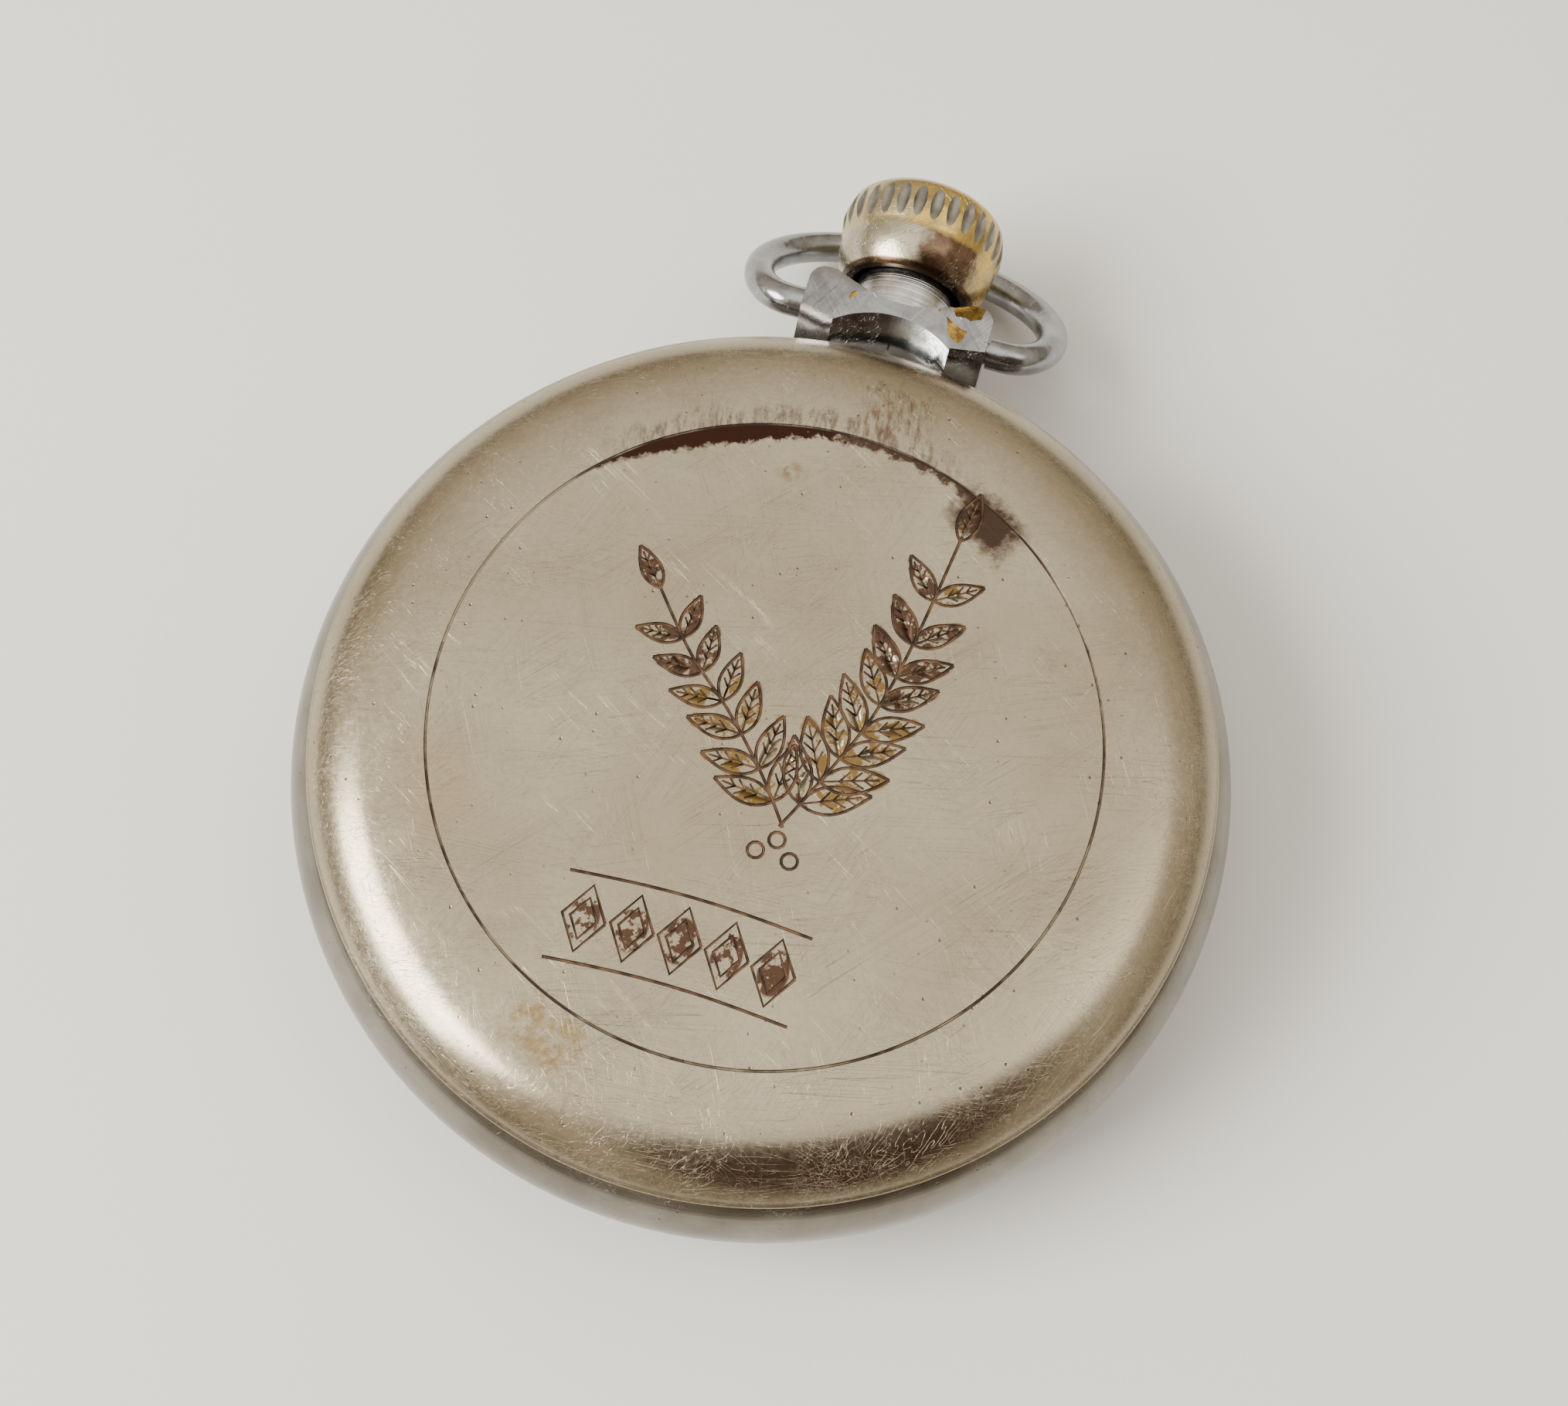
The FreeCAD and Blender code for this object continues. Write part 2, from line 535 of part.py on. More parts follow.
def shaped_pendant_block():
    """Finishes the block: the dish, the bore, the bow holes, and the scoops and facets on both faces."""
    blank = make_pendant_block()
    doc.recompute()
    pieces.remove(blank)
    blank.Label = "pendant_blank"
    mid, half = size("stem_height"), size("block_height") / 2
    tools = []
    out = V(0, 1, 0)
    depth = size("block_end") - size("dish_floor")
    tools.append(Part.makeCone(size("dish_floor_radius"), size("dish_mouth"), depth,
                               V(0, size("dish_floor"), mid), out))
    tools.append(Part.makeCylinder(size("sleeve_thread"), depth, V(0, size("thread_start"), mid), out))
    tools.append(Part.makeCylinder(size("stem_hole"), depth + 8, V(0, size("block_root"), mid), out))
    for side in (1, -1):
        peg = V(side * size("block_width") / 2, size("bow_pivot"), mid)
        tools.append(Part.makeCylinder(size("bow_peg") + size("bow_gap"), size("bow_peg_length") + 0.15,
                                       peg, V(-side, 0, 0)))
        # the scoop narrows towards the band's widest line
        face = mid + side * half
        reach = size("scoop_depth")
        tools.append(Part.makeCone(size("scoop_radius"), size("scoop_radius") - reach * size("scoop_slope"),
                                   reach, V(0, size("scoop_center"), face), V(0, 0, -side)))
        for flank in (1, -1):
            start = [V(flank * size("facet_inner"), size("facet_start"), face),
                     V(flank * (size("block_width") / 2 + 1), size("facet_start") + 0.5, face)]
            drop = V(0, -0.75 * size("facet_drop"), -side * size("facet_drop"))
            lift_up = V(0, 0, side)
            back = V(0, -3, side)
            rails = [Part.makePolygon([p - drop * 0.02 + lift_up * 0.01, p + drop, p + back,
                                       p - drop * 0.02 + lift_up * 0.01]) for p in start]
            tools.append(Part.makeLoft(rails, True, True))
    shape = blank.Shape.cut(tools).removeSplitter()
    solids = sorted(shape.Solids, key=lambda solid: solid.Volume)
    feature("pendant_block", solids[-1])


def about_stem(body):
    """Puts a piece that was turned about its own upright axis on the stem's line."""
    body.Placement = FreeCAD.Placement(V(0, 0, size("stem_height")), FreeCAD.Rotation(V(1, 0, 0), 0))
    return body


def make_sleeve():
    about_stem(turned("pendant_sleeve", [
        ("sleeve_bore", "sleeve_inner_end"), ("sleeve_nose", "sleeve_inner_end"),
        ("sleeve_nose", "thread_start"), ("sleeve_thread", "thread_start"),
        ("sleeve_thread", "dish_floor"), ("sleeve_radius", "dish_floor"),
        ("sleeve_radius", "sleeve_end - 0.2"), ("sleeve_radius - 0.2", "sleeve_end"),
        ("sleeve_bore", "sleeve_end")], "XY_Plane"))


def make_bow():
    """Round wire bent to an oval, with a turned-down peg at each end, lying down on the table."""
    half, reach, widest = size("bow_half_width"), size("bow_reach"), size("bow_widest")
    shoulder, wire = size("bow_shoulder"), size("bow_wire")
    start = size("block_width") / 2 + size("bow_side_gap")
    bend_x = half - shoulder

    def quarter(center, a, b, low, high):
        if a >= b:
            ellipse = Part.Ellipse(V(center[0], center[1], 0), a, b)
            return Part.ArcOfEllipse(ellipse, low, high).toShape()
        ellipse = Part.Ellipse(V(center[0], center[1] + b, 0), V(center[0] - a, center[1], 0),
                               V(center[0], center[1], 0))
        return Part.ArcOfEllipse(ellipse, low - math.pi / 2, high - math.pi / 2).toShape()

    right_angle = math.pi / 2
    edges = [Part.makeLine(V(start, 0, 0), V(bend_x, 0, 0)),
             quarter((bend_x, widest), shoulder, widest, -right_angle, 0),
             quarter((0, widest), half, reach - widest, 0, right_angle)]
    mirror = [edge.mirror(V(0, 0, 0), V(1, 0, 0)) for edge in edges]
    spine = Part.Wire(Part.sortEdges(edges + mirror)[0])
    section = Part.Wire(Part.makeCircle(wire, V(start, 0, 0), V(1, 0, 0)))
    loop = spine.makePipeShell([section], True, False)
    pegs = [Part.makeCylinder(size("bow_peg"), size("bow_peg_length") + size("bow_side_gap"),
                              V(side * start, 0, 0), V(-side, 0, 0)) for side in (1, -1)]
    shape = loop.fuse(pegs)
    bow = feature("bow", shape)
    droop = math.degrees(math.asin((size("stem_height") - wire) / reach))
    bow.Placement = FreeCAD.Placement(V(0, size("bow_pivot"), size("stem_height")),
                                      FreeCAD.Rotation(V(1, 0, 0), -droop))


def make_crown():
    """Onion-shaped winding crown: a smooth skirt, a barrelled fluted band and a domed end."""
    rise = "0.2"
    dome = f"(((crown_top_radius - crown_flat) ^ 2 + {rise} ^ 2) / (2 * {rise}))"
    body = turned("crown", [
        (0.0, "crown_recess_end"), ("crown_recess", "crown_recess_end"), ("crown_recess", "crown_start"),
        ("crown_skirt", "crown_start"), ("crown_band_edge", "crown_band_start", 4.2),
        ("crown_radius", "(crown_band_start + crown_band_end) / 2", "crown_barrel"),
        ("crown_band_edge", "crown_band_end", "crown_barrel"),
        ("crown_top_radius", f"crown_end - {rise}", 1.5), ("crown_flat", "crown_end", dome),
        (0.0, "crown_end")], "XY_Plane")
    doc.recompute()
    sketch = new_sketch(body, "XZ_Plane")
    draw_circle(sketch, "crown_radius + flute_radius - flute_depth", 0.0, "flute_radius")
    flute = body.newObject("PartDesign::Pocket", "flute")
    flute.Profile = sketch
    flute.Type = "ThroughAll"
    flute.Midplane = True
    doc.recompute()
    repeat(body, flute, "flutes", "Y_Axis")
    about_stem(body)


def make_stem():
    about_stem(turned("winding_stem", steps(
        ("stem_start", "stem_pilot"), ("clutch_start - pull_travel - 0.2", "stem_square"),
        ("pinion_start + pinion_length", "stem_radius"), ("groove_start", "groove_radius"),
        ("groove_start + groove_width", "stem_radius"), "crown_recess_end"), "XY_Plane"))


def make_winding_pinion():
    body = slab("winding_pinion", [], "pinion_start", "pinion_start + pinion_length",
                [(0.0, 0.0, "winding_teeth * winding_module / 2 + 0.4 * winding_module"),
                 (0.0, 0.0, "stem_square + slide_gap")])
    cut_teeth(body, "winding_teeth", "winding_module")
    body.Placement = FreeCAD.Placement(V(0, 0, size("stem_height")), FreeCAD.Rotation(V(1, 0, 0), -90))


def make_clutch():
    about_stem(turned("clutch_wheel", [
        ("stem_square + slide_gap", "clutch_start"), ("clutch_radius", "clutch_start"),
        ("clutch_radius", "clutch_groove"), ("clutch_neck", "clutch_groove"),
        ("clutch_neck", "clutch_groove + clutch_groove_width"),
        ("clutch_radius", "clutch_groove + clutch_groove_width"), ("clutch_radius", "clutch_end"),
        ("stem_square + slide_gap", "clutch_end")], "XY_Plane"))


def lever_piece(name, arms, low, high, holes=(), pins=()):
    """A flat lever of joined arms with holes, and pins that stand on it: (x, y, radius, low, high)."""
    body = new_body(name)
    for outline in arms:
        pad(body, [arm(*outline)], low, high)
        doc.recompute()
    for x, y, radius, pin_low, pin_high in pins:
        pad(body, [], pin_low, pin_high, [(x, y, radius)])
        doc.recompute()
    if holes:
        pocket(body, [], circles=holes)
    return body


def make_keyless_levers():
    low, high = "plate_back + 0.05", "plate_back + 0.35"
    for name, post, pin in (("setting_lever", LEVER_POST, LEVER_PIN), ("yoke", YOKE_POST, YOKE_PIN)):
        lever_piece(name, [(post.x, post.y, 0.85, pin.x, pin.y, 0.3)], low, high,
                    [(post.x, post.y, "screw_shank + pivot_gap")], [(pin.x, pin.y, 0.2, low, "stem_height")])
    lever_piece("yoke_spring", [(8.6, 12.6, 0.8, 6.6, 13.6, 0.15), (6.6, 13.6, 0.15, 3.4, 14.4, 0.12)],
                low, high)


def screw_shape(spots, head, seat, length):
    """Slotted screws with their heads up, standing on a seat."""
    shapes = []
    for spot in spots:
        base = V(spot.x, spot.y, seat)
        screw = Part.makeCylinder(head, size("head_height"), base)
        screw = screw.fuse(Part.makeCylinder(size("screw_shank"), length, base, V(0, 0, -1)))
        slot = Part.makeBox(2 * head + 1, size("slot_width"), size("slot_depth") + 1,
                            base + V(-head - 0.5, -size("slot_width") / 2,
                                     size("head_height") - size("slot_depth")))
        shapes.append(screw.cut(slot).removeSplitter())
    return Part.makeCompound(shapes) if len(shapes) > 1 else shapes[0]


def make_screws():
    cock_top = size("cock_front") + size("cock_wall")
    plates = screw_shape(PILLARS, size("plate_screw_head"), size("top_back"), 2.0)
    cock = screw_shape([COCK_FOOT], size("plate_screw_head"), cock_top, 2.0)
    feature("plate_screws", Part.makeCompound(plates.Solids + cock.Solids))
    feature("case_screws", screw_shape(CASE_SCREWS, size("case_screw_head"), size("top_back"),
                                       size("top_back") - size("top_front") + 0.6))
    feature("ratchet_screw", screw_shape([BARREL], size("ratchet_head"),
                                         size("top_back") + size("ratchet_gap") + size("ratchet_wall"), 1.4))
    feature("click_screw", screw_shape([CLICK], size("click_head"), size("top_back") + 0.5, 1.1))
    pallet_top = size("pallet_cock_front") + size("pallet_cock_wall")
    feature("pallet_cock_screw", screw_shape([PALLET_FOOT], 0.8, pallet_top,
                                             pallet_top - size("plate_front")))
    posts = screw_shape([LEVER_POST, YOKE_POST], 0.75, size("plate_back") + 0.4,
                        size("plate_back") + 0.4 - size("plate_front"))
    feature("keyless_screws", posts)


# ---- dial side ----
def make_dial():
    body = slab("dial", [], "dial_front", "dial_front + dial_wall",
                [(0.0, 0.0, "dial_radius"), (0.0, 0.0, "dial_hole"),
                 (0.0, "-seconds_offset", "seconds_hole")])
    doc.recompute()
    pocket(body, [], "dial_front - 1", "dial_front + sub_dial_depth",
           [(0.0, "-seconds_offset", "sub_dial_radius")])
    foot_low = size("dial_front") + size("dial_wall")
    feet = [Part.makeCylinder(size("foot_radius"), size("foot_end") - foot_low, spot + V(0, 0, foot_low))
            for spot in DIAL_FEET]
    feature("dial_feet", Part.makeCompound(feet))


def make_hand(name, length, tail, hub, bore, tip, front, wall="hand_wall"):
    """A tapered hand with a round hub, pointing to 12 o'clock."""
    body = new_body(name)
    pad(body, [], front, f"{front} + {wall}", [(0.0, 0.0, hub), (0.0, 0.0, bore)])
    doc.recompute()
    root = number(bore) + 0.15
    for far, end_half in ((number(length), tip), (-tail, tip * 1.6)):
        way = math.copysign(1.0, far)
        near = way * root
        half = 0.42 * number(hub)
        pad(body, [[(-half, near), (half, near), (end_half, far), (-end_half, far)][::int(way)]],
            front, f"{front} + {wall}")
        doc.recompute()
    return body


def make_hands():
    make_hand("hour_hand", "hour_hand_length", 2.6, 1.7, "hour_pipe", 0.16, "hour_hand_front")
    make_hand("minute_hand", "minute_hand_length", 3.2, 1.3, "cannon_radius", 0.13, "minute_hand_front")
    hand = make_hand("seconds_hand", "seconds_hand_length", 1.3, 0.45, "pivot_radius + 0.06", 0.07,
                     "seconds_hand_front", "0.15")
    place(hand, FOURTH.x, FOURTH.y)


def make_motion_work():
    minute_turn = meshed(size("minute_teeth"), MINUTE, size("cannon_teeth"), CENTER, 0.0)
    cannon = toothed_spindle("cannon_pinion", [
        ("minute_hand_front - 0.2", "cannon_radius"),
        ("minute_wheel_front - end_shake", tip_radius("cannon_teeth", "motion_module")),
        "plate_front - end_shake"], "cannon_teeth", "motion_module")
    doc.recompute()
    pocket(cannon, [], circles=[(0.0, 0.0, "center_shaft - 0.1")])
    body = slab("minute_wheel", [], "minute_wheel_front", "minute_wheel_front + wheel_wall",
                [(0.0, 0.0, tip_radius("minute_teeth", "motion_module"))])
    cut_teeth(body, "minute_teeth", "motion_module")
    # its pinion meshes with the hour wheel, so its module follows from the distance between the posts
    hour_leaf = "((cannon_teeth + minute_teeth) * motion_module / (minute_leaves + hour_teeth))"
    pad(body, [], "hour_wheel_front - end_shake", "minute_wheel_front",
        [(0.0, 0.0, f"minute_leaves * {hour_leaf} / 2 - 0.35 * {hour_leaf}")])
    doc.recompute()
    pitch, module = number(f"minute_leaves * {hour_leaf} / 2"), number(hour_leaf)
    lobe = pad(body, [[(0.3, -0.5 * module), (pitch + 0.7 * module, -0.28 * module),
                       (pitch + 0.7 * module, 0.28 * module), (0.3, 0.5 * module)]],
               "hour_wheel_front - end_shake", "minute_wheel_front")
    doc.recompute()
    repeat(body, lobe, "minute_leaves")
    doc.recompute()
    pocket(body, [], circles=[(0.0, 0.0, "arbor_radius + pivot_gap")])
    place(body, MINUTE.x, MINUTE.y, 0, minute_turn)
    hour = slab("hour_wheel", [], "hour_wheel_front", "hour_wheel_front + wheel_wall",
                [(0.0, 0.0, f"hour_teeth * {hour_leaf} / 2 + 0.7 * {hour_leaf}")])
    cut_teeth(hour, "hour_teeth", hour_leaf)
    doc.recompute()
    pad(hour, [], "hour_hand_front - 0.1", "hour_wheel_front", [(0.0, 0.0, "hour_pipe")])
    doc.recompute()
    pocket(hour, [], circles=[(0.0, 0.0, "cannon_radius + pivot_gap")])
    # the pinion's leaves stand on its own +X, so this wheel's gap faces one of them
    leaf_phase = (-90.0 - minute_turn) / (360.0 / size("minute_leaves")) % 1.0
    place(hour, 0, 0, 0, 90.0 + leaf_phase * 360.0 / size("hour_teeth"))
    setting = slab("setting_wheel", [], "minute_wheel_front", "minute_wheel_front + wheel_wall",
                   [(0.0, 0.0, tip_radius("setting_teeth", "motion_module"))])
    cut_teeth(setting, "setting_teeth", "motion_module")
    doc.recompute()
    pad(setting, [], "minute_wheel_front + wheel_wall", "plate_back + 0.3",
        [(0.0, 0.0, "arbor_radius + 0.2")])
    doc.recompute()
    pad(setting, [], "plate_back + 0.05", "plate_back + 0.3", [(0.0, 0.0, "setting_disc")])
    turn = meshed(size("setting_teeth"), SETTING, size("minute_teeth"), MINUTE, minute_turn)
    place(setting, SETTING.x, SETTING.y, 0, turn)


# ---- plates and cocks ----
def make_main_plate():
    body = turned("main_plate", [
        (0.0, "plate_front"), ("rim_inner", "plate_front"), ("rim_inner", "rim_front"),
        ("plate_rim", "rim_front"), ("plate_rim", "ledge_front"), ("plate_radius", "ledge_front"),
        ("plate_radius", "plate_back"), (0.0, "plate_back")])
    doc.recompute()
    pivot = "pivot_radius + pivot_gap"
    holes = [(0.0, 0.0, "center_shaft + pivot_gap"), (SETTING.x, SETTING.y, "arbor_radius + 0.2 + pivot_gap"),
             (BARREL.x, BARREL.y, "barrel_arbor + pivot_gap")]
    holes += [(spot.x, spot.y, pivot) for spot in (THIRD, ESCAPE, BALANCE, PALLET)]
    holes += [(FOURTH.x, FOURTH.y, "pivot_radius + 0.06 + pivot_gap")]
    holes += [(spot.x, spot.y, "foot_radius") for spot in DIAL_FEET]
    holes += [(spot.x, spot.y, "screw_shank") for spot in (LEVER_POST, YOKE_POST, PALLET_FOOT)]
    pocket(body, [], circles=holes)
    doc.recompute()
    half = "winding_teeth * winding_module / 2"
    pocket(body, [[(f"-({half})", "pinion_start - 0.15"), (half, "pinion_start - 0.15"),
                   (half, "pinion_start + pinion_length + 0.1"),
                   (f"-({half})", "pinion_start + pinion_length + 0.1")]],
           f"stem_height - {half} - 0.35", "plate_back + 0.5")
    doc.recompute()
    pad(body, [], "hour_wheel_front + 0.02", "plate_front", [(MINUTE.x, MINUTE.y, "arbor_radius")])


def make_top_plate():
    body = slab("top_plate", [], "top_front", "top_back", [(0.0, 0.0, "top_radius")])
    doc.recompute()
    pivot = "pivot_radius + pivot_gap"
    holes = [(0.0, 0.0, "arbor_radius + 0.1 + pivot_gap"), (BARREL.x, BARREL.y, "barrel_arbor + pivot_gap"),
             (BALANCE.x, BALANCE.y, "balance_window"), (CROWN_WHEEL.x, CROWN_WHEEL.y, "screw_shank"),
             (CLICK.x, CLICK.y, "screw_shank"), (COCK_FOOT.x, COCK_FOOT.y, "screw_shank")]
    holes += [(spot.x, spot.y, pivot) for spot in (THIRD, FOURTH, ESCAPE)]
    holes += [(spot.x, spot.y, "screw_shank") for spot in PILLARS + CASE_SCREWS]
    pocket(body, [], circles=holes)
    doc.recompute()
    half = "winding_teeth * winding_module / 2"
    pocket(body, [[(f"-({half})", "pinion_start - 0.15"), (half, "pinion_start - 0.15"),
                   (half, "pinion_start + pinion_length + 0.1"),
                   (f"-({half})", "pinion_start + pinion_length + 0.1")]])


def make_pillars():
    low, high, drill = size("plate_back"), size("top_front"), size("top_back") - 2.0
    pillars = [Part.makeCylinder(size("pillar_radius"), high - low, spot + V(0, 0, low)).cut(
        Part.makeCylinder(size("screw_shank"), high - drill, spot + V(0, 0, drill))) for spot in PILLARS]
    feature("pillars", Part.makeCompound(pillars))


def make_cocks():
    width = size("cock_width")
    cock_back = "cock_front + cock_wall"
    lever_piece("balance_cock", [(BALANCE.x, BALANCE.y, width, COCK_FOOT.x, COCK_FOOT.y, width + 0.3)],
                "cock_front", cock_back,
                [(BALANCE.x, BALANCE.y, "pivot_radius + pivot_gap"),
                 (COCK_FOOT.x, COCK_FOOT.y, "screw_shank")],
                [(COCK_FOOT.x, COCK_FOOT.y, width + 0.3, "top_back", "cock_front"),
                 (BALANCE.x, BALANCE.y, 1.1, cock_back, f"{cock_back} + 0.35")])
    lever_piece("pallet_cock", [(PALLET.x, PALLET.y, 0.6, PALLET_FOOT.x, PALLET_FOOT.y, 1.1)],
                "pallet_cock_front", "pallet_cock_front + pallet_cock_wall",
                [(PALLET.x, PALLET.y, "pivot_radius + pivot_gap"),
                 (PALLET_FOOT.x, PALLET_FOOT.y, "screw_shank")],
                [(PALLET_FOOT.x, PALLET_FOOT.y, 1.1, "plate_back", "pallet_cock_front")])
    strap = (COCK_FOOT - BALANCE).normalize()
    side = V(strap.y, -strap.x, 0)
    pointer = BALANCE + strap * 5.4
    tail = BALANCE + side * 3.35
    low = "cock_front + cock_wall + 0.05"
    lever_piece("regulator", [(BALANCE.x, BALANCE.y, 1.75, pointer.x, pointer.y, 0.18),
                              (BALANCE.x, BALANCE.y, 1.4, tail.x, tail.y, 0.3)], low, f"{low} + 0.2",
                [(BALANCE.x, BALANCE.y, "1.1 + pivot_gap")],
                [(tail.x, tail.y, 0.12, "hairspring_front", low)])
    stud = BALANCE + strap * 3.4
    slab("hairspring_stud", [], "hairspring_front - 0.05", "cock_front", [(stud.x, stud.y, 0.3)])


# ---- barrel and winding ----
def make_barrel():
    drum = slab("barrel_drum", [], "barrel_front + cover_wall", "barrel_back", [(0.0, 0.0, "barrel_radius")])
    doc.recompute()
    pad(drum, [], "barrel_back - 0.5", "barrel_back",
        [(0.0, 0.0, tip_radius("barrel_teeth", "barrel_module"))])
    cut_teeth(drum, "barrel_teeth", "barrel_module")
    doc.recompute()
    pocket(drum, [], "barrel_front", "barrel_back - barrel_wall", [(0.0, 0.0, "barrel_radius - barrel_wall")])
    doc.recompute()
    pocket(drum, [], circles=[(0.0, 0.0, "barrel_arbor + pivot_gap")])
    turn = meshed(size("barrel_teeth"), BARREL, size("center_pinion_teeth"), CENTER, 0.0)
    place(drum, BARREL.x, BARREL.y, 0, turn)
    cover = slab("barrel_cover", [], "barrel_front", "barrel_front + cover_wall",
                 [(0.0, 0.0, "barrel_radius"), (0.0, 0.0, "barrel_arbor + pivot_gap")])
    place(cover, BARREL.x, BARREL.y)
    ratchet_top = "top_back + ratchet_gap + ratchet_wall"
    arbor = turned("barrel_arbor", steps(
        ("plate_front + 0.4", "barrel_arbor"), ("barrel_front + cover_wall + end_shake", "barrel_core"),
        ("barrel_back - barrel_wall - end_shake", "barrel_arbor"), ratchet_top))
    doc.recompute()
    pocket(arbor, [], f"{ratchet_top} - 1.45", ratchet_top, [(0.0, 0.0, "screw_shank")])
    place(arbor, BARREL.x, BARREL.y)


def ribbon(inner, outer, turns, strip, low, height, points=28):
    """A flat spiral strip."""
    count = int(turns * points)

    def spot(i, offset):
        share = i / count
        radius = inner + (outer - inner) * share + offset
        angle = 2 * math.pi * turns * share
        return V(radius * math.cos(angle), radius * math.sin(angle), low)

    outline = [spot(i, 0) for i in range(count + 1)] + [spot(i, strip) for i in range(count, -1, -1)]
    return Part.Face(Part.makePolygon(outline + outline[:1])).extrude(V(0, 0, height))


def make_springs():
    clear = 0.06
    low = size("barrel_front") + size("cover_wall") + clear
    high = size("barrel_back") - size("barrel_wall") - clear
    outer = size("barrel_radius") - size("barrel_wall") - size("spring_strip") - 0.02
    spring = feature("mainspring", ribbon(size("barrel_core") + clear, outer, size("spring_turns"),
                                          size("spring_strip"), low, high - low))
    place(spring, BARREL.x, BARREL.y)
    spring = feature("hairspring", ribbon(0.5, size("hairspring_radius"), size("hairspring_turns"),
                                          size("hairspring_strip"), size("hairspring_front"),
                                          size("hairspring_height")))
    place(spring, BALANCE.x, BALANCE.y)


def make_winding_wheels():
    low = "top_back + ratchet_gap"
    high = f"{low} + ratchet_wall"
    crown_turn = 90.0 + 180.0 / size("crown_wheel_teeth")
    wheel_body = wheel("crown_wheel", "crown_wheel_teeth", "winding_module", "crown_wheel_bore", low, high)
    place(wheel_body, CROWN_WHEEL.x, CROWN_WHEEL.y, 0, crown_turn)
    ratchet = wheel("ratchet_wheel", "ratchet_teeth", "winding_module", "barrel_arbor", low, high)
    turn = meshed(size("ratchet_teeth"), BARREL, size("crown_wheel_teeth"), CROWN_WHEEL, crown_turn)
    place(ratchet, BARREL.x, BARREL.y, 0, turn)
    core = size("crown_wheel_bore") - size("pivot_gap")
    shoulder = Part.makeCylinder(core, size("ratchet_gap") * 2 + size("ratchet_wall"),
                                 CROWN_WHEEL + V(0, 0, size("top_back")))
    screw = screw_shape([CROWN_WHEEL], size("crown_wheel_head"),
                        size("top_back") + size("ratchet_gap") * 2 + size("ratchet_wall"), 1.2)
    feature("crown_wheel_screw", screw.fuse(shoulder).removeSplitter())
    lever_piece("click", [(CLICK.x, CLICK.y, 1.0, CLICK_TIP.x, CLICK_TIP.y, 0.12)],
                low, "top_back + 0.45", [(CLICK.x, CLICK.y, "screw_shank + pivot_gap")])
    heel = CLICK + V(-0.2, -6.6, 0)
    bend = V(CLICK_TIP.x - 1.6, CLICK_TIP.y - 1.4, 0)
    lever_piece("click_spring", [(heel.x, heel.y, 0.8, heel.x + 0.9, heel.y + 1.6, 0.12),
                                 (heel.x + 0.9, heel.y + 1.6, 0.12, bend.x, bend.y, 0.1)], "top_back",
                "top_back + 0.35")


# ---- going train ----
def make_train():
    shake = "end_shake"
    top = "top_back - 0.1"
    toothed_spindle("center_arbor", [
        ("minute_hand_front - 0.25", "center_shaft - 0.1"), (f"plate_front - {shake}", "center_shaft"),
        (f"plate_back + {shake}", "center_seat"),
        ("barrel_back - 1.0", tip_radius("center_pinion_teeth", "barrel_module")),
        (f"top_front - {shake}", "arbor_radius + 0.1"), top], "center_pinion_teeth", "barrel_module")
    wheel("center_wheel", "center_teeth", "center_module", "center_seat", "center_wheel_front",
          "center_wheel_front + wheel_wall", 5)
    third_turn = meshed(size("pinion_leaves"), THIRD, size("center_teeth"), CENTER, 0.0)
    third = toothed_spindle("third_pinion", [
        ("plate_front + 0.4", "pivot_radius"),
        (f"plate_back + {shake}", tip_radius("pinion_leaves", "center_module")),
        ("third_front - 0.1", "pinion_leaves * center_module / 2 - 1.5 * center_module"),
        ("third_front + wheel_wall", "arbor_radius"), (f"top_front - {shake}", "pivot_radius"), top],
        "pinion_leaves", "center_module")
    place(third, THIRD.x, THIRD.y, 0, third_turn)
    third_wheel = wheel("third_wheel", "third_teeth", "third_module",
                        "pinion_leaves * center_module / 2 - 1.5 * center_module", "third_front",
                        "third_front + wheel_wall", 5)
    place(third_wheel, THIRD.x, THIRD.y, 0, third_turn)
    fourth_turn = meshed(size("pinion_leaves"), FOURTH, size("third_teeth"), THIRD, third_turn)
    fourth = toothed_spindle("fourth_pinion", [
        ("seconds_hand_front", "pivot_radius + 0.06"), (f"plate_back + {shake}", "arbor_radius"),
        ("third_front - 0.2", tip_radius("pinion_leaves", "third_module")),
        ("third_front + wheel_wall + 0.2", "pinion_leaves * third_module / 2 - 1.5 * third_module"),
        ("fourth_front + wheel_wall", "arbor_radius"), (f"top_front - {shake}", "pivot_radius"), top],
        "pinion_leaves", "third_module")
    place(fourth, FOURTH.x, FOURTH.y, 0, fourth_turn)
    fourth_wheel = wheel("fourth_wheel", "fourth_teeth", "fourth_module",
                         "pinion_leaves * third_module / 2 - 1.5 * third_module", "fourth_front",
                         "fourth_front + wheel_wall", 4)
    place(fourth_wheel, FOURTH.x, FOURTH.y, 0, fourth_turn)
    escape_turn = meshed(size("escape_leaves"), ESCAPE, size("fourth_teeth"), FOURTH, fourth_turn)
    escape = toothed_spindle("escape_pinion", [
        ("plate_front + 0.4", "pivot_radius"), (f"plate_back + {shake}", "arbor_radius - 0.02"),
        ("escape_front + wheel_wall", "arbor_radius - 0.05"),
        ("fourth_front - 0.2", tip_radius("escape_leaves", "fourth_module")),
        ("fourth_front + wheel_wall + 0.2", "arbor_radius - 0.05"), (f"top_front - {shake}", "pivot_radius"),
        top], "escape_leaves", "fourth_module")
    place(escape, ESCAPE.x, ESCAPE.y, 0, escape_turn)
    make_escape_wheel(escape_turn)


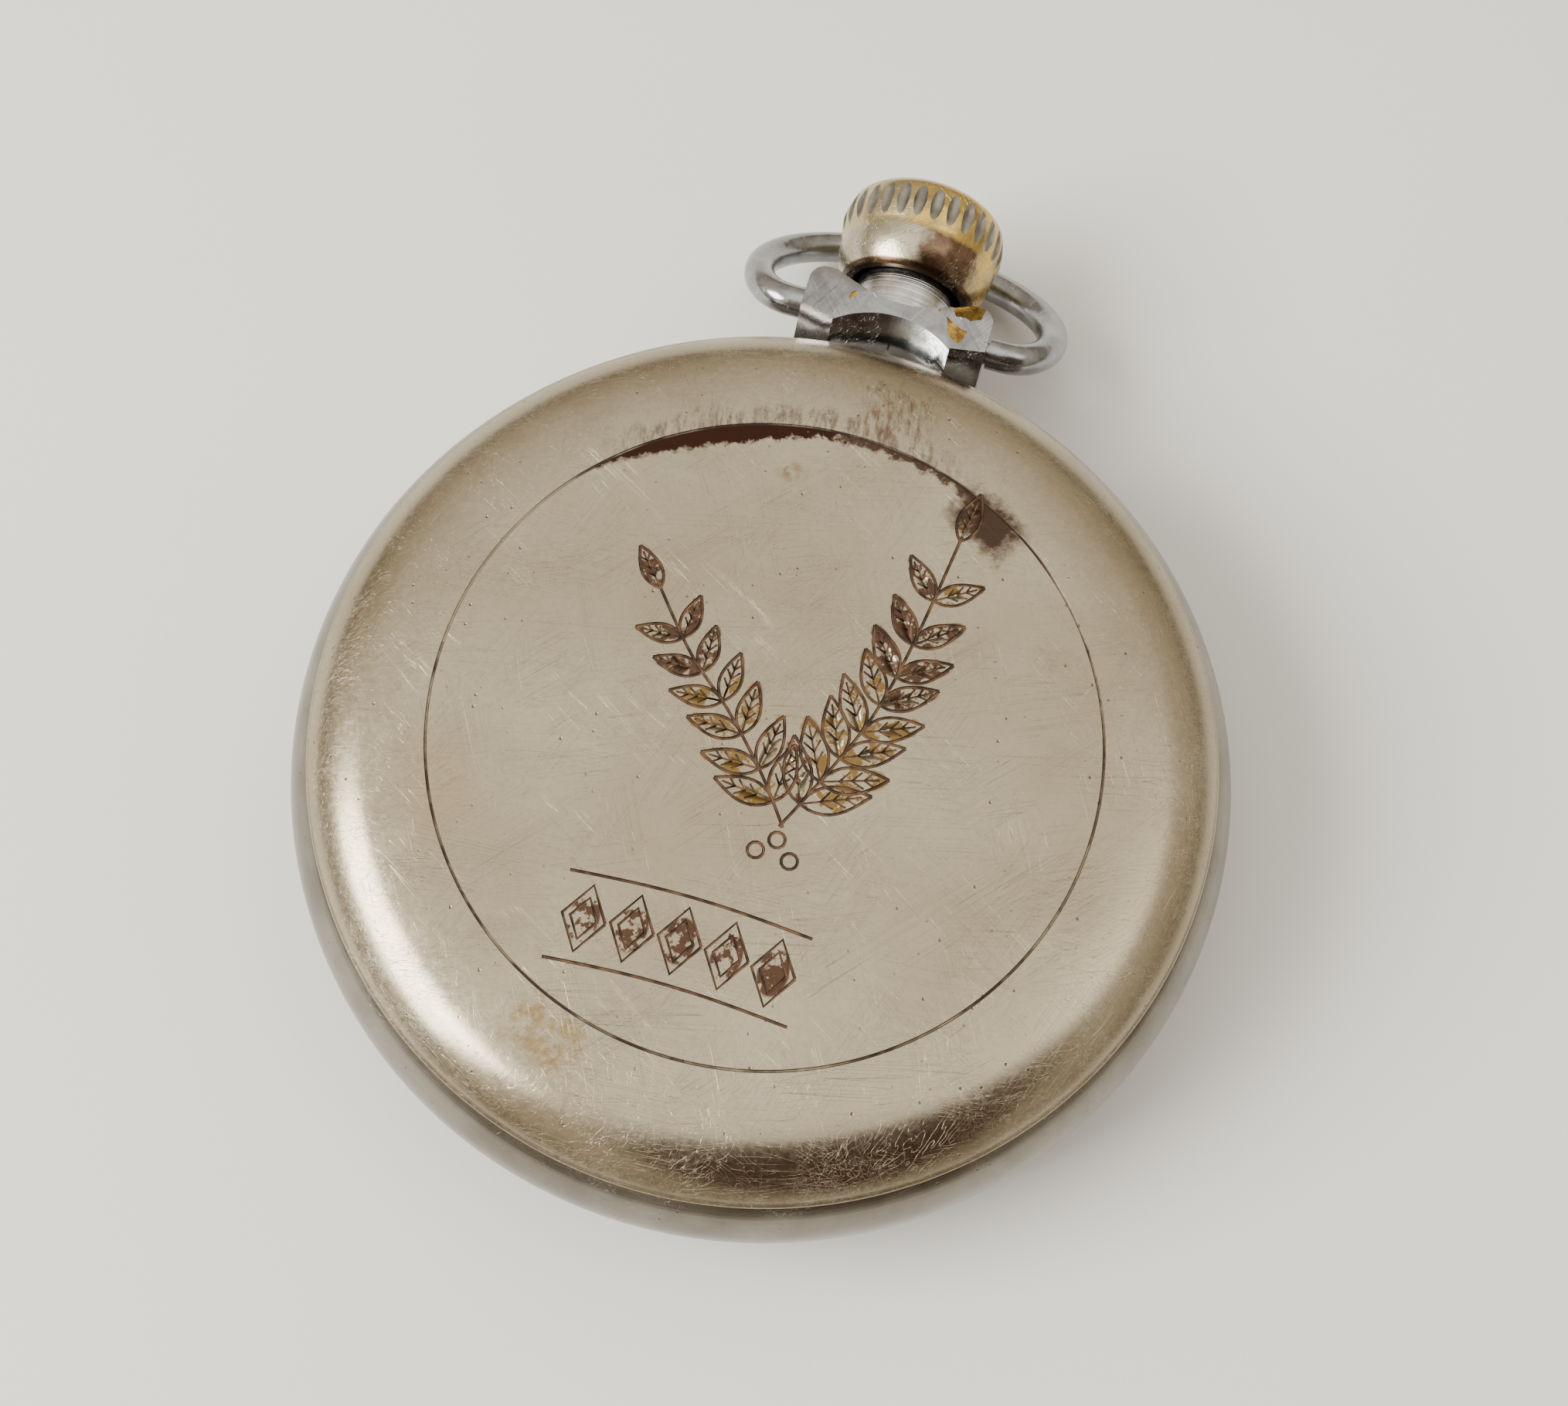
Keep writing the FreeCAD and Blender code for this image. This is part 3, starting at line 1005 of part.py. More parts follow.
def make_escape_wheel(turn):
    """Pin lever escape wheel: fifteen leaning teeth on a rim with four arms."""
    body = slab("escape_wheel", [], "escape_front", "escape_front + wheel_wall",
                [(0.0, 0.0, "escape_radius"), (0.0, 0.0, "arbor_radius - 0.02")])
    doc.recompute()
    pitch = 360.0 / size("escape_teeth")
    outer, root = size("escape_radius"), size("escape_radius") - 0.75
    gap = [polar(root, 0.12 * pitch), polar(outer + 0.3, -0.02 * pitch), polar(outer + 0.3, 0.84 * pitch),
           polar(root, 0.72 * pitch)]
    repeat(body, pocket(body, [[(p.x, p.y) for p in gap]]), "escape_teeth")
    doc.recompute()
    rim, hub = root - 0.35, 0.75
    window = [polar(hub, 20), polar(rim, 12), polar(rim, 78), polar(hub, 70)]
    repeat(body, pocket(body, [[(p.x, p.y) for p in window]]), 4)
    place(body, ESCAPE.x, ESCAPE.y, 0, turn)


# ---- escapement and balance ----
def make_pallets():
    low, high = "lever_front", "lever_front + 0.2"
    fork = BALANCE - LEVER_WAY * (size("impulse_radius") - 0.15)
    circle, spread = size("pallet_circle"), size("pallet_spread")
    heading = math.degrees(math.atan2(LEVER_WAY.y, LEVER_WAY.x))
    pins = [ESCAPE + polar(circle, heading + side * spread) for side in (1, -1)]
    arms = [(PALLET.x, PALLET.y, 0.5, fork.x, fork.y, 0.34)]
    arms += [(PALLET.x, PALLET.y, 0.45, pin.x, pin.y, 0.22) for pin in pins]
    body = lever_piece("pallet_lever", arms, low, high, [(PALLET.x, PALLET.y, 0.25)])
    doc.recompute()
    notch_half, notch_deep = 0.14, 0.75
    mouth = BALANCE - LEVER_WAY * 0.4
    floor = fork - LEVER_WAY * (notch_deep - 0.34)
    notch = [floor - LEVER_ACROSS * notch_half, mouth - LEVER_ACROSS * notch_half,
             mouth + LEVER_ACROSS * notch_half, floor + LEVER_ACROSS * notch_half]
    pocket(body, [[(p.x, p.y) for p in notch]])
    depth = size("lever_front") - size("escape_front")
    feature("pallet_pins", Part.makeCompound([
        Part.makeCylinder(size("pallet_pin"), depth, pin + V(0, 0, size("escape_front"))) for pin in pins]))
    arbor = turned("pallet_arbor", steps(
        ("plate_front + 0.4", "pivot_radius"), ("plate_back + end_shake", 0.25),
        ("pallet_cock_front - end_shake", "pivot_radius"),
        "pallet_cock_front + pallet_cock_wall - 0.05"))
    place(arbor, PALLET.x, PALLET.y)


def make_balance():
    high = "balance_front + balance_height"
    rim = "balance_radius - balance_rim"
    body = slab("balance_wheel", [], "balance_front", high, [(0.0, 0.0, "balance_radius"), (0.0, 0.0, rim)])
    doc.recompute()
    pad(body, [], "balance_front + 0.25", "balance_front + 0.55", [(0.0, 0.0, 1.1)])
    doc.recompute()
    reach = number(rim) + 0.1
    spoke = pad(body, [[(0.6, -0.35), (reach, -0.3), (reach, 0.3), (0.6, 0.35)]],
                "balance_front + 0.25", "balance_front + 0.55")
    doc.recompute()
    repeat(body, spoke, 3)
    doc.recompute()
    pocket(body, [], circles=[(0.0, 0.0, 0.4)])
    place(body, BALANCE.x, BALANCE.y)
    staff = turned("balance_staff", steps(
        ("plate_front + 0.3", "pivot_radius"), ("plate_back + end_shake", 0.25),
        ("roller_front", 0.3), ("balance_front", 0.4), ("balance_front + balance_height", 0.3),
        ("cock_front - end_shake", "pivot_radius"), "cock_front + cock_wall - 0.05"))
    place(staff, BALANCE.x, BALANCE.y)
    roller = slab("roller", [], "roller_front", "roller_front + 0.2",
                  [(0.0, 0.0, "roller_radius"), (0.0, 0.0, 0.3)])
    doc.recompute()
    pad(roller, [], "lever_front + 0.25", "roller_front", [("-impulse_radius", 0.0, 0.11)])
    place(roller, BALANCE.x, BALANCE.y, 0, math.degrees(math.atan2(LEVER_WAY.y, LEVER_WAY.x)))


make_case_band()
make_back_cover()
make_bezel()
make_crystal()
shaped_pendant_block()
make_sleeve()
make_bow()
make_crown()
make_stem()
make_winding_pinion()
make_clutch()
make_keyless_levers()
make_screws()
make_dial()
make_hands()
make_motion_work()
make_main_plate()
make_top_plate()
make_pillars()
make_cocks()
make_barrel()
make_springs()
make_winding_wheels()
make_train()
make_pallets()
make_balance()
doc.recompute()

failed = [item.Name for item in doc.Objects if {"Invalid", "Error"} & set(item.State)]
failed += [piece.Label for piece in pieces if piece.Shape.isNull() or not piece.Shape.isValid()]
if failed:
    raise RuntimeError("these did not build: " + ", ".join(failed))

os.makedirs(OUT, exist_ok=True)
for piece in pieces:
    piece.Shape.exportStep(os.path.join(OUT, piece.Label + ".step"))
    solids = len(piece.Shape.Solids)
    print(f"{piece.Label:20s} solids {solids}  volume {piece.Shape.Volume:10.3f}")
print(len(pieces), "pieces")
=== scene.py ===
"""Looks of the open face pocket watch: worn nickel case, chipped chrome pendant, gilt crown, cream dial."""

import json
import math

import bpy
from mathutils import Matrix, Vector


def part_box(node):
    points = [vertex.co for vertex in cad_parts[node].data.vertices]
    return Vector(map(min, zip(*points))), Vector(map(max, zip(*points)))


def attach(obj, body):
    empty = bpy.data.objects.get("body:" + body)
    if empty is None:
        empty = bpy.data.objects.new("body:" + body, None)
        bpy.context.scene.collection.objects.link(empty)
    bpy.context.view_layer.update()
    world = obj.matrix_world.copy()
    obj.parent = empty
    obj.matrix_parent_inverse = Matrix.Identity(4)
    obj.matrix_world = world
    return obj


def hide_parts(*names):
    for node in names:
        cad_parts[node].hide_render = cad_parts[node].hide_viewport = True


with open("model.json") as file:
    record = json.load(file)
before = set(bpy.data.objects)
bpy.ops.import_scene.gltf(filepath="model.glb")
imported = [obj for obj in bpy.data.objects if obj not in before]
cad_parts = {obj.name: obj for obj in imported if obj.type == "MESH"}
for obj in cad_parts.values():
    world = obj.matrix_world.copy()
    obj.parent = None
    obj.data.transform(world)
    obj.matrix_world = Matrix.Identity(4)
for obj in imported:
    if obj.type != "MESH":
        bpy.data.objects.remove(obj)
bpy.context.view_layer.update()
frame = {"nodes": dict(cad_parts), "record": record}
MM = 0.001
NODES = frame["nodes"]

# Places read from the frame, in millimetres
COVER_LOW, COVER_HIGH = (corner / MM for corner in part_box("back_cover"))
BAND_LOW, BAND_HIGH = (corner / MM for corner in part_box("case_band"))
BLOCK_LOW, BLOCK_HIGH = (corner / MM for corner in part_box("pendant_block"))
CROWN_LOW, CROWN_HIGH = (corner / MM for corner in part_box("crown"))
DIAL_LOW, DIAL_HIGH = (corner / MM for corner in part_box("dial"))
BACK = COVER_HIGH.z
CASE_RADIUS = BAND_HIGH.x
STEM = (CROWN_LOW.z + CROWN_HIGH.z) / 2
RING = CASE_RADIUS - 7.65  # radius of the circle cut in the back


# ---- camera, light and floor ----
# The room's colour by height, from the horizon (0) to overhead (1)
SKY = ((0.0, (0.2, 0.165, 0.125)), (0.4, (0.56, 0.49, 0.38)), (0.7, (0.66, 0.6, 0.49)),
       (0.86, (0.98, 0.93, 0.83)), (1.0, (1.4, 1.36, 1.25)))


def place_camera():
    azimuth, elevation, roll = math.radians(10.5), math.radians(71.3), math.radians(5.8)
    distance = 119.0 * MM
    aim = Vector((0.43, 1.8, BACK)) * MM
    back = Vector((math.sin(azimuth) * math.cos(elevation), -math.cos(azimuth) * math.cos(elevation),
                   math.sin(elevation)))
    level = Vector((math.cos(azimuth), math.sin(azimuth), 0))
    upright = back.cross(level)
    right = level * math.cos(roll) + upright * math.sin(roll)
    up = back.cross(right)
    turn = Matrix((right, up, back)).transposed().to_4x4()
    bpy.ops.object.camera_add()
    camera = bpy.context.object
    camera.name = "studio_camera"
    camera.matrix_world = Matrix.Translation(aim + back * distance) @ turn
    camera.data.sensor_width = 36.0
    camera.data.lens = 53.2
    camera.data.clip_start = 0.005
    bpy.context.scene.camera = camera


def add_panel(name, where, size, power, color):
    """A soft square light that faces the watch."""
    bpy.ops.object.light_add(type="AREA", location=[c * MM for c in where])
    panel = bpy.context.object
    panel.name = name
    panel.data.shape = "RECTANGLE"
    panel.data.size, panel.data.size_y = size[0] * MM, size[1] * MM
    panel.data.energy = power
    panel.data.color = color
    way = Vector((0, 0, BACK * MM)) - panel.location
    panel.rotation_euler = way.to_track_quat("-Z", "Y").to_euler()


def light_studio():
    """A pale room, darker towards the floor, with a brown shape where a person would stand."""
    world = bpy.data.worlds.new("soft_room")
    bpy.context.scene.world = world
    world.use_nodes = True
    tree = world.node_tree
    background = tree.nodes["Background"]
    coordinates = tree.nodes.new("ShaderNodeTexCoord")

    def ramp(value, stops):
        node = tree.nodes.new("ShaderNodeValToRGB")
        while len(node.color_ramp.elements) < len(stops):
            node.color_ramp.elements.new(0.5)
        for element, (place, color) in zip(node.color_ramp.elements, stops):
            element.position = place
            element.color = (*color, 1) if isinstance(color, tuple) else (color, color, color, 1)
        tree.links.new(value, node.inputs[0])
        return node.outputs[0]

    def toward(x, y, z):
        """The cosine between the way looked and a way given."""
        node = tree.nodes.new("ShaderNodeVectorMath")
        node.operation = "DOT_PRODUCT"
        tree.links.new(coordinates.outputs["Generated"], node.inputs[0])
        node.inputs[1].default_value = Vector((x, y, z)).normalized()
        return node.outputs["Value"]

    def blend(share, a, b):
        node = tree.nodes.new("ShaderNodeMix")
        node.data_type = "RGBA"
        tree.links.new(share, node.inputs["Factor"])
        tree.links.new(a, node.inputs[6])
        node.inputs[7].default_value = (*b, 1)
        return node.outputs[2]

    sky = ramp(toward(0, 0, 1), SKY)
    sky = blend(ramp(toward(0.51, 0.14, 0.85), ((0.962, 0.0), (0.988, 1.0))), sky, (2.0, 1.94, 1.78))
    sky = blend(ramp(toward(0.4, -0.62, 0.67), ((0.81, 0.0), (0.885, 0.97))), sky, (0.06, 0.026, 0.014))
    tree.links.new(sky, background.inputs[0])
    background.inputs[1].default_value = 1.42
    add_panel("window_panel", (-330, -170, 341), (300, 250), 3.9, (1.0, 0.985, 0.95))


def lay_floor():
    bpy.ops.object.select_all(action="DESELECT")
    bpy.ops.mesh.primitive_plane_add(size=2.4, location=(0, 0, -0.02 * MM))
    floor = bpy.context.object
    floor.name = "table_top"
    paper = Finish("pale_paper")
    tone = paper.noise(0.02, detail=3)
    mottle = paper.ramp(tone, ((0.3, 0.0), (0.7, 1.0)))
    paper.color(paper.mix(mottle, (0.82, 0.815, 0.79), (0.85, 0.845, 0.82)))
    paper.set("Roughness", 0.62)
    floor.data.materials.append(paper.material)


# ---- shading tools ----
class Finish:
    """One procedural material. Patterns are in millimetres on the object's own coordinates."""

    def __init__(self, name, metal=0.0):
        self.material = bpy.data.materials.new(name)
        self.material.use_nodes = True
        self.tree = self.material.node_tree
        self.shader = self.tree.nodes["Principled BSDF"]
        self.set("Metallic", metal)
        coordinates = self.tree.nodes.new("ShaderNodeTexCoord")
        scale = self.tree.nodes.new("ShaderNodeVectorMath")
        scale.operation = "SCALE"
        scale.inputs["Scale"].default_value = 1 / MM
        self.link(coordinates.outputs["Object"], scale.inputs[0])
        self.place = scale.outputs[0]
        self.bumps = None

    def link(self, source, target):
        self.tree.links.new(source, target)

    def feed(self, socket, value):
        """Links an output, or sets a plain value."""
        if isinstance(value, bpy.types.NodeSocket):
            self.link(value, socket)
        elif isinstance(value, tuple) and socket.type == "RGBA":
            socket.default_value = (*value, 1)
        else:
            socket.default_value = value

    def set(self, name, value):
        self.feed(self.shader.inputs[name], value)

    def color(self, value):
        self.set("Base Color", value)

    def math(self, operation, a, b=0.0, clamp=False):
        node = self.tree.nodes.new("ShaderNodeMath")
        node.operation = operation
        node.use_clamp = clamp
        self.feed(node.inputs[0], a)
        self.feed(node.inputs[1], b)
        return node.outputs[0]

    def times(self, *values):
        result = values[0]
        for value in values[1:]:
            result = self.math("MULTIPLY", result, value)
        return result

    def largest(self, *values):
        result = values[0]
        for value in values[1:]:
            result = self.math("MAXIMUM", result, value)
        return result

    def mix(self, share, a, b):
        node = self.tree.nodes.new("ShaderNodeMix")
        node.data_type = "RGBA"
        self.feed(node.inputs["Factor"], share)
        self.feed(node.inputs[6], a)
        self.feed(node.inputs[7], b)
        return node.outputs[2]

    def ramp(self, value, stops):
        """Straight-line steps through (value, result) pairs."""
        node = self.tree.nodes.new("ShaderNodeValToRGB")
        elements = node.color_ramp.elements
        while len(elements) < len(stops):
            elements.new(0.5)
        for element, (at, level) in zip(elements, stops):
            element.position = at
            element.color = (*level, 1) if isinstance(level, tuple) else (level, level, level, 1)
        self.feed(node.inputs[0], value)
        return node.outputs[0]

    def turned(self, stretch=(1, 1, 1), turn=(0, 0, 0), shift=(0, 0, 0)):
        """The object's coordinates seen from a place that is moved, turned and stretched."""
        node = self.tree.nodes.new("ShaderNodeMapping")
        node.vector_type = "TEXTURE"
        node.inputs["Location"].default_value = shift
        node.inputs["Rotation"].default_value = [math.radians(angle) for angle in turn]
        node.inputs["Scale"].default_value = stretch
        self.link(self.place, node.inputs[0])
        return node.outputs[0]

    def noise(self, scale, detail=2.0, rough=0.5, at=None):
        node = self.tree.nodes.new("ShaderNodeTexNoise")
        node.inputs["Scale"].default_value = scale
        node.inputs["Detail"].default_value = detail
        node.inputs["Roughness"].default_value = rough
        self.link(at or self.place, node.inputs["Vector"])
        return node.outputs["Fac"]

    def patchy(self, scale, low, high, detail=2.0, rough=0.5, at=None):
        """Noise drawn out to patches: 0 below one level, 1 above the other."""
        return self.ramp(self.noise(scale, detail, rough, at), ((low, 0.0), (high, 1.0)))

    def cells(self, scale, at=None):
        node = self.tree.nodes.new("ShaderNodeTexVoronoi")
        node.inputs["Scale"].default_value = scale
        self.link(at or self.place, node.inputs["Vector"])
        return node.outputs["Distance"]

    def pits(self, scale, size, where, low, high):
        """Small round specks, only in patches."""
        dots = self.ramp(self.cells(scale), ((size * 0.5, 1.0), (size, 0.0)))
        return self.times(dots, self.patchy(where, low, high))

    def split(self, at=None):
        node = self.tree.nodes.new("ShaderNodeSeparateXYZ")
        self.link(at or self.place, node.inputs[0])
        return node.outputs

    def radius(self, at=None, first="X", second="Y"):
        """The distance from an axis."""
        parts = self.split(at)
        return self.math("SQRT", self.math("ADD", self.times(parts[first], parts[first]),
                                           self.times(parts[second], parts[second])))

    def angle(self, first="X", second="Y"):
        """The angle about an axis in degrees, from -180 to 180."""
        parts = self.split()
        return self.times(self.math("ARCTAN2", parts[second], parts[first]), 180 / math.pi)

    def window(self, value, low, high, soft):
        """1 between low and high, falling to 0 over a soft edge."""
        rise = self.math("DIVIDE", self.math("SUBTRACT", value, low - soft), soft, clamp=True)
        fall = self.math("DIVIDE", self.math("SUBTRACT", high + soft, value), soft, clamp=True)
        return self.times(rise, fall)

    def ellipse(self, x, y, turn, length, width, soft=0.15):
        """1 inside an ellipse on the flat of the back."""
        off = self.radius(self.turned((length, width, 1), (0, 0, turn), (x, y, 0)))
        return self.math("DIVIDE", self.math("SUBTRACT", 1.0 + soft, off), soft, clamp=True)

    def hairlines(self, turn, scale, width, seed=0.0, low=0.5, high=0.62, length=70.0):
        """Long straight scratches that run one way: the level lines of a stretched noise."""
        at = self.turned((length, 1, 1), (0, 0, turn), (seed, seed * 0.7, 0))
        off = self.math("ABSOLUTE", self.math("SUBTRACT", self.noise(scale, 0.5, 0.5, at), 0.5))
        line = self.math("SUBTRACT", 1.0, self.math("DIVIDE", off, width), clamp=True)
        apart = self.turned((2, 1, 1), (0, 0, turn), (seed * 3 + 5, turn, 0))
        broken = self.patchy(0.35, low, high, 2, 0.5, apart)
        return self.times(line, broken)

    def bump(self, height, distance, strength=1.0):
        node = self.tree.nodes.new("ShaderNodeBump")
        node.inputs["Distance"].default_value = distance * MM
        node.inputs["Strength"].default_value = strength
        self.feed(node.inputs["Height"], height)
        if self.bumps is not None:
            self.link(self.bumps, node.inputs["Normal"])
        self.bumps = node.outputs[0]
        self.link(self.bumps, self.shader.inputs["Normal"])


TARNISH = (0.042, 0.018, 0.012)
OLD_BRASS = (0.21, 0.125, 0.035)


# ---- the ornament cut in the back: (x, y) places in millimetres ----
LEFT_STEM = ((2.2, -4.6), (0.4, -2.2), (-2.2, 0.6), (-4.9, 3.0), (-7.6, 6.2))
RIGHT_STEM = ((2.0, -4.6), (3.4, -1.6), (5.0, 2.4), (6.0, 7.0), (6.9, 13.4))
LOZENGES = 5


def along(stem, share):
    """The place and heading on a stem at a share of its length."""
    spot = share * (len(stem) - 1)
    i = min(int(spot), len(stem) - 2)
    a, b = Vector(stem[i]), Vector(stem[i + 1])
    before = Vector(stem[max(i - 1, 0)])
    after = Vector(stem[min(i + 2, len(stem) - 1)])
    share = spot - i
    start, end = (b - before) / 2, (after - a) / 2
    place = (a * (2 * share ** 3 - 3 * share ** 2 + 1) + start * (share ** 3 - 2 * share ** 2 + share)
             + b * (3 * share ** 2 - 2 * share ** 3) + end * (share ** 3 - share ** 2))
    heading = start.lerp(end, share)
    return place, math.atan2(heading.y, heading.x)


def leaf_places():
    """(x, y, turn, length, width) of each leaf of the two sprigs, from its stalk."""
    leaves = []
    for stem, pairs, size in ((LEFT_STEM, 6, 3.1), (RIGHT_STEM, 8, 3.5)):
        for pair in range(pairs):
            place, heading = along(stem, 0.14 + 0.8 * pair / pairs)
            length = size * (1.05 - 0.28 * pair / pairs)
            for side in (1, -1):
                spread = math.radians(44 + 5 * (pair % 2)) * side
                leaves.append((place.x, place.y, heading + spread, length, 0.2 * length))
        place, heading = along(stem, 0.98)
        leaves.append((place.x, place.y, heading, 0.85 * size, 0.17 * size))
    return leaves


def leaf_point(leaf, share, across):
    """A point of a leaf: share of its length from the stalk, and across in shares of its width."""
    x, y, turn, length, width = leaf
    reach, off = share * length, across * width
    return (x + reach * math.cos(turn) - off * math.sin(turn),
            y + reach * math.sin(turn) + off * math.cos(turn))


def sprig_strokes():
    """The lines of the sprigs: stems, leaf edges, ribs and veins."""
    edges, fine = [], []
    for stem in (LEFT_STEM, RIGHT_STEM):
        edges.append([along(stem, i / 24)[0] for i in range(25)])
    for leaf in leaf_places():
        for side in (1, -1):
            edges.append([leaf_point(leaf, i / 10, side * math.sin(math.pi * (i / 10) ** 0.8))
                          for i in range(11)])
            for vein in (0.28, 0.46, 0.64):
                fine.append([leaf_point(leaf, vein, 0), leaf_point(leaf, vein + 0.16, side * 0.62)])
        fine.append([leaf_point(leaf, 0.05, 0), leaf_point(leaf, 0.86, 0)])
    for x, y in ((2.1, -5.3), (1.2, -6.1), (3.0, -6.2)):
        edges.append([(x + 0.42 * math.cos(t), y + 0.42 * math.sin(t)) for t in
                      [2 * math.pi * i / 12 for i in range(13)]])
    return edges, fine


def band_strokes():
    """The band below the sprigs: two rules with a row of nested lozenges between them."""
    edges, fills = [], []
    for rule in (-9.7, -14.3):
        edges.append([(-7.4 + 12.6 * i / 10, rule + 0.35 * math.sin(math.pi * i / 10)) for i in range(11)])
    for i in range(LOZENGES):
        x, y = -6.0 + 2.45 * i, -12.0 + 0.35 * math.sin(math.pi * (i + 0.5) / LOZENGES)
        for size in (1.0, 0.62):
            edges.append([(x + 1.12 * size, y), (x, y + 1.75 * size), (x - 1.12 * size, y),
                          (x, y - 1.75 * size), (x + 1.12 * size, y)])
        fills.append((x, y))
    return edges, fills


# ---- modelling tools ----
def settle(piece, body, slot, *nodes, smooth=38):
    """Applies the piece's place, smooths it, and hangs it on its body."""
    bpy.ops.object.select_all(action="DESELECT")
    piece.select_set(True)
    bpy.context.view_layer.objects.active = piece
    bpy.ops.object.transform_apply(location=True, rotation=True, scale=True)
    if smooth:
        bpy.ops.object.shade_smooth_by_angle(angle=math.radians(smooth))
    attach(piece, body)
    if nodes:
        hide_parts(*nodes)
    return piece


def edit(piece, *steps):
    """Runs mesh operators on a piece in edit mode."""
    bpy.ops.object.select_all(action="DESELECT")
    piece.select_set(True)
    bpy.context.view_layer.objects.active = piece
    bpy.ops.object.mode_set(mode="EDIT")
    bpy.ops.mesh.select_all(action="SELECT")
    for step in steps:
        step()
    bpy.ops.object.mode_set(mode="OBJECT")


def arc(a, b, radius, steps):
    """Points after a and up to b on an arc that bulges to the right of the way."""
    a, b = Vector(a), Vector(b)
    chord = b - a
    left = Vector((-chord.y, chord.x)).normalized()
    center = (a + b) / 2 + left * math.sqrt(max(radius ** 2 - chord.length_squared / 4, 0))
    start, end = a - center, b - center
    turn = start.angle_signed(end)
    points = []
    for i in range(1, steps + 1):
        angle = -turn * i / steps
        points.append((center.x + start.x * math.cos(angle) - start.y * math.sin(angle),
                       center.y + start.x * math.sin(angle) + start.y * math.cos(angle)))
    return points


def turn_piece(name, rings, segments):
    """A turned solid drawn up through (radius, height) rings, flat at both ends."""
    bpy.ops.object.select_all(action="DESELECT")
    radius, height = rings[0]
    bpy.ops.mesh.primitive_circle_add(vertices=segments, radius=radius * MM, location=(0, 0, height * MM))
    piece = bpy.context.object
    piece.name = name
    bpy.ops.object.transform_apply(location=True)

    def draw_up():
        nonlocal radius, height
        for next_radius, next_height in rings[1:]:
            rise = (next_height - height) * MM
            bpy.ops.mesh.extrude_region_move(TRANSFORM_OT_translate={"value": (0, 0, rise)})
            share = next_radius / radius
            bpy.ops.transform.resize(value=(share, share, 1), center_override=(0, 0, next_height * MM))
            radius, height = next_radius, next_height
        bpy.ops.mesh.select_all(action="SELECT")
        bpy.ops.mesh.fill_holes(sides=0)
        bpy.ops.mesh.select_all(action="SELECT")
        bpy.ops.mesh.normals_make_consistent(inside=False)

    edit(piece, draw_up)
    return piece


def draw_lines(name, strokes, thickness, height, sides=1):
    """Round wires along strokes at one height, made a mesh."""
    bpy.ops.object.select_all(action="DESELECT")
    bpy.ops.curve.primitive_nurbs_path_add()
    line = bpy.context.object
    line.name = name
    line.data.splines.clear()
    line.data.bevel_depth = thickness / 2 * MM
    line.data.bevel_resolution = sides
    line.data.use_fill_caps = True
    for stroke in strokes:
        spline = line.data.splines.new("POLY")
        spline.points.add(len(stroke) - 1)
        for point, (x, y) in zip(spline.points, stroke):
            point.co = (x * MM, y * MM, height * MM, 1)
    bpy.ops.object.convert(target="MESH")
    return bpy.context.object


def cut_out(piece, cutter, material, self_crossing=False):
    """Cuts one shape out of a piece and gives the cut its own material."""
    cutter.data.materials.clear()
    cutter.data.materials.append(material)
    modifier = piece.modifiers.new("cut", "BOOLEAN")
    modifier.operation = "DIFFERENCE"
    modifier.object = cutter
    modifier.solver = "EXACT"
    modifier.use_self = self_crossing
    modifier.material_mode = "TRANSFER"
    bpy.ops.object.select_all(action="DESELECT")
    piece.select_set(True)
    bpy.context.view_layer.objects.active = piece
    bpy.ops.object.modifier_apply(modifier=modifier.name)
    bpy.data.objects.remove(cutter)


def copy_of(node, name):
    """A merged copy of a CAD node's mesh."""
    piece = bpy.data.objects.new(name, NODES[node].data.copy())
    bpy.context.collection.objects.link(piece)
    piece.data.materials.clear()
    edit(piece, lambda: bpy.ops.mesh.remove_doubles(threshold=0.001 * MM),
         lambda: bpy.ops.mesh.dissolve_limited(angle_limit=math.radians(0.5)))
    return piece


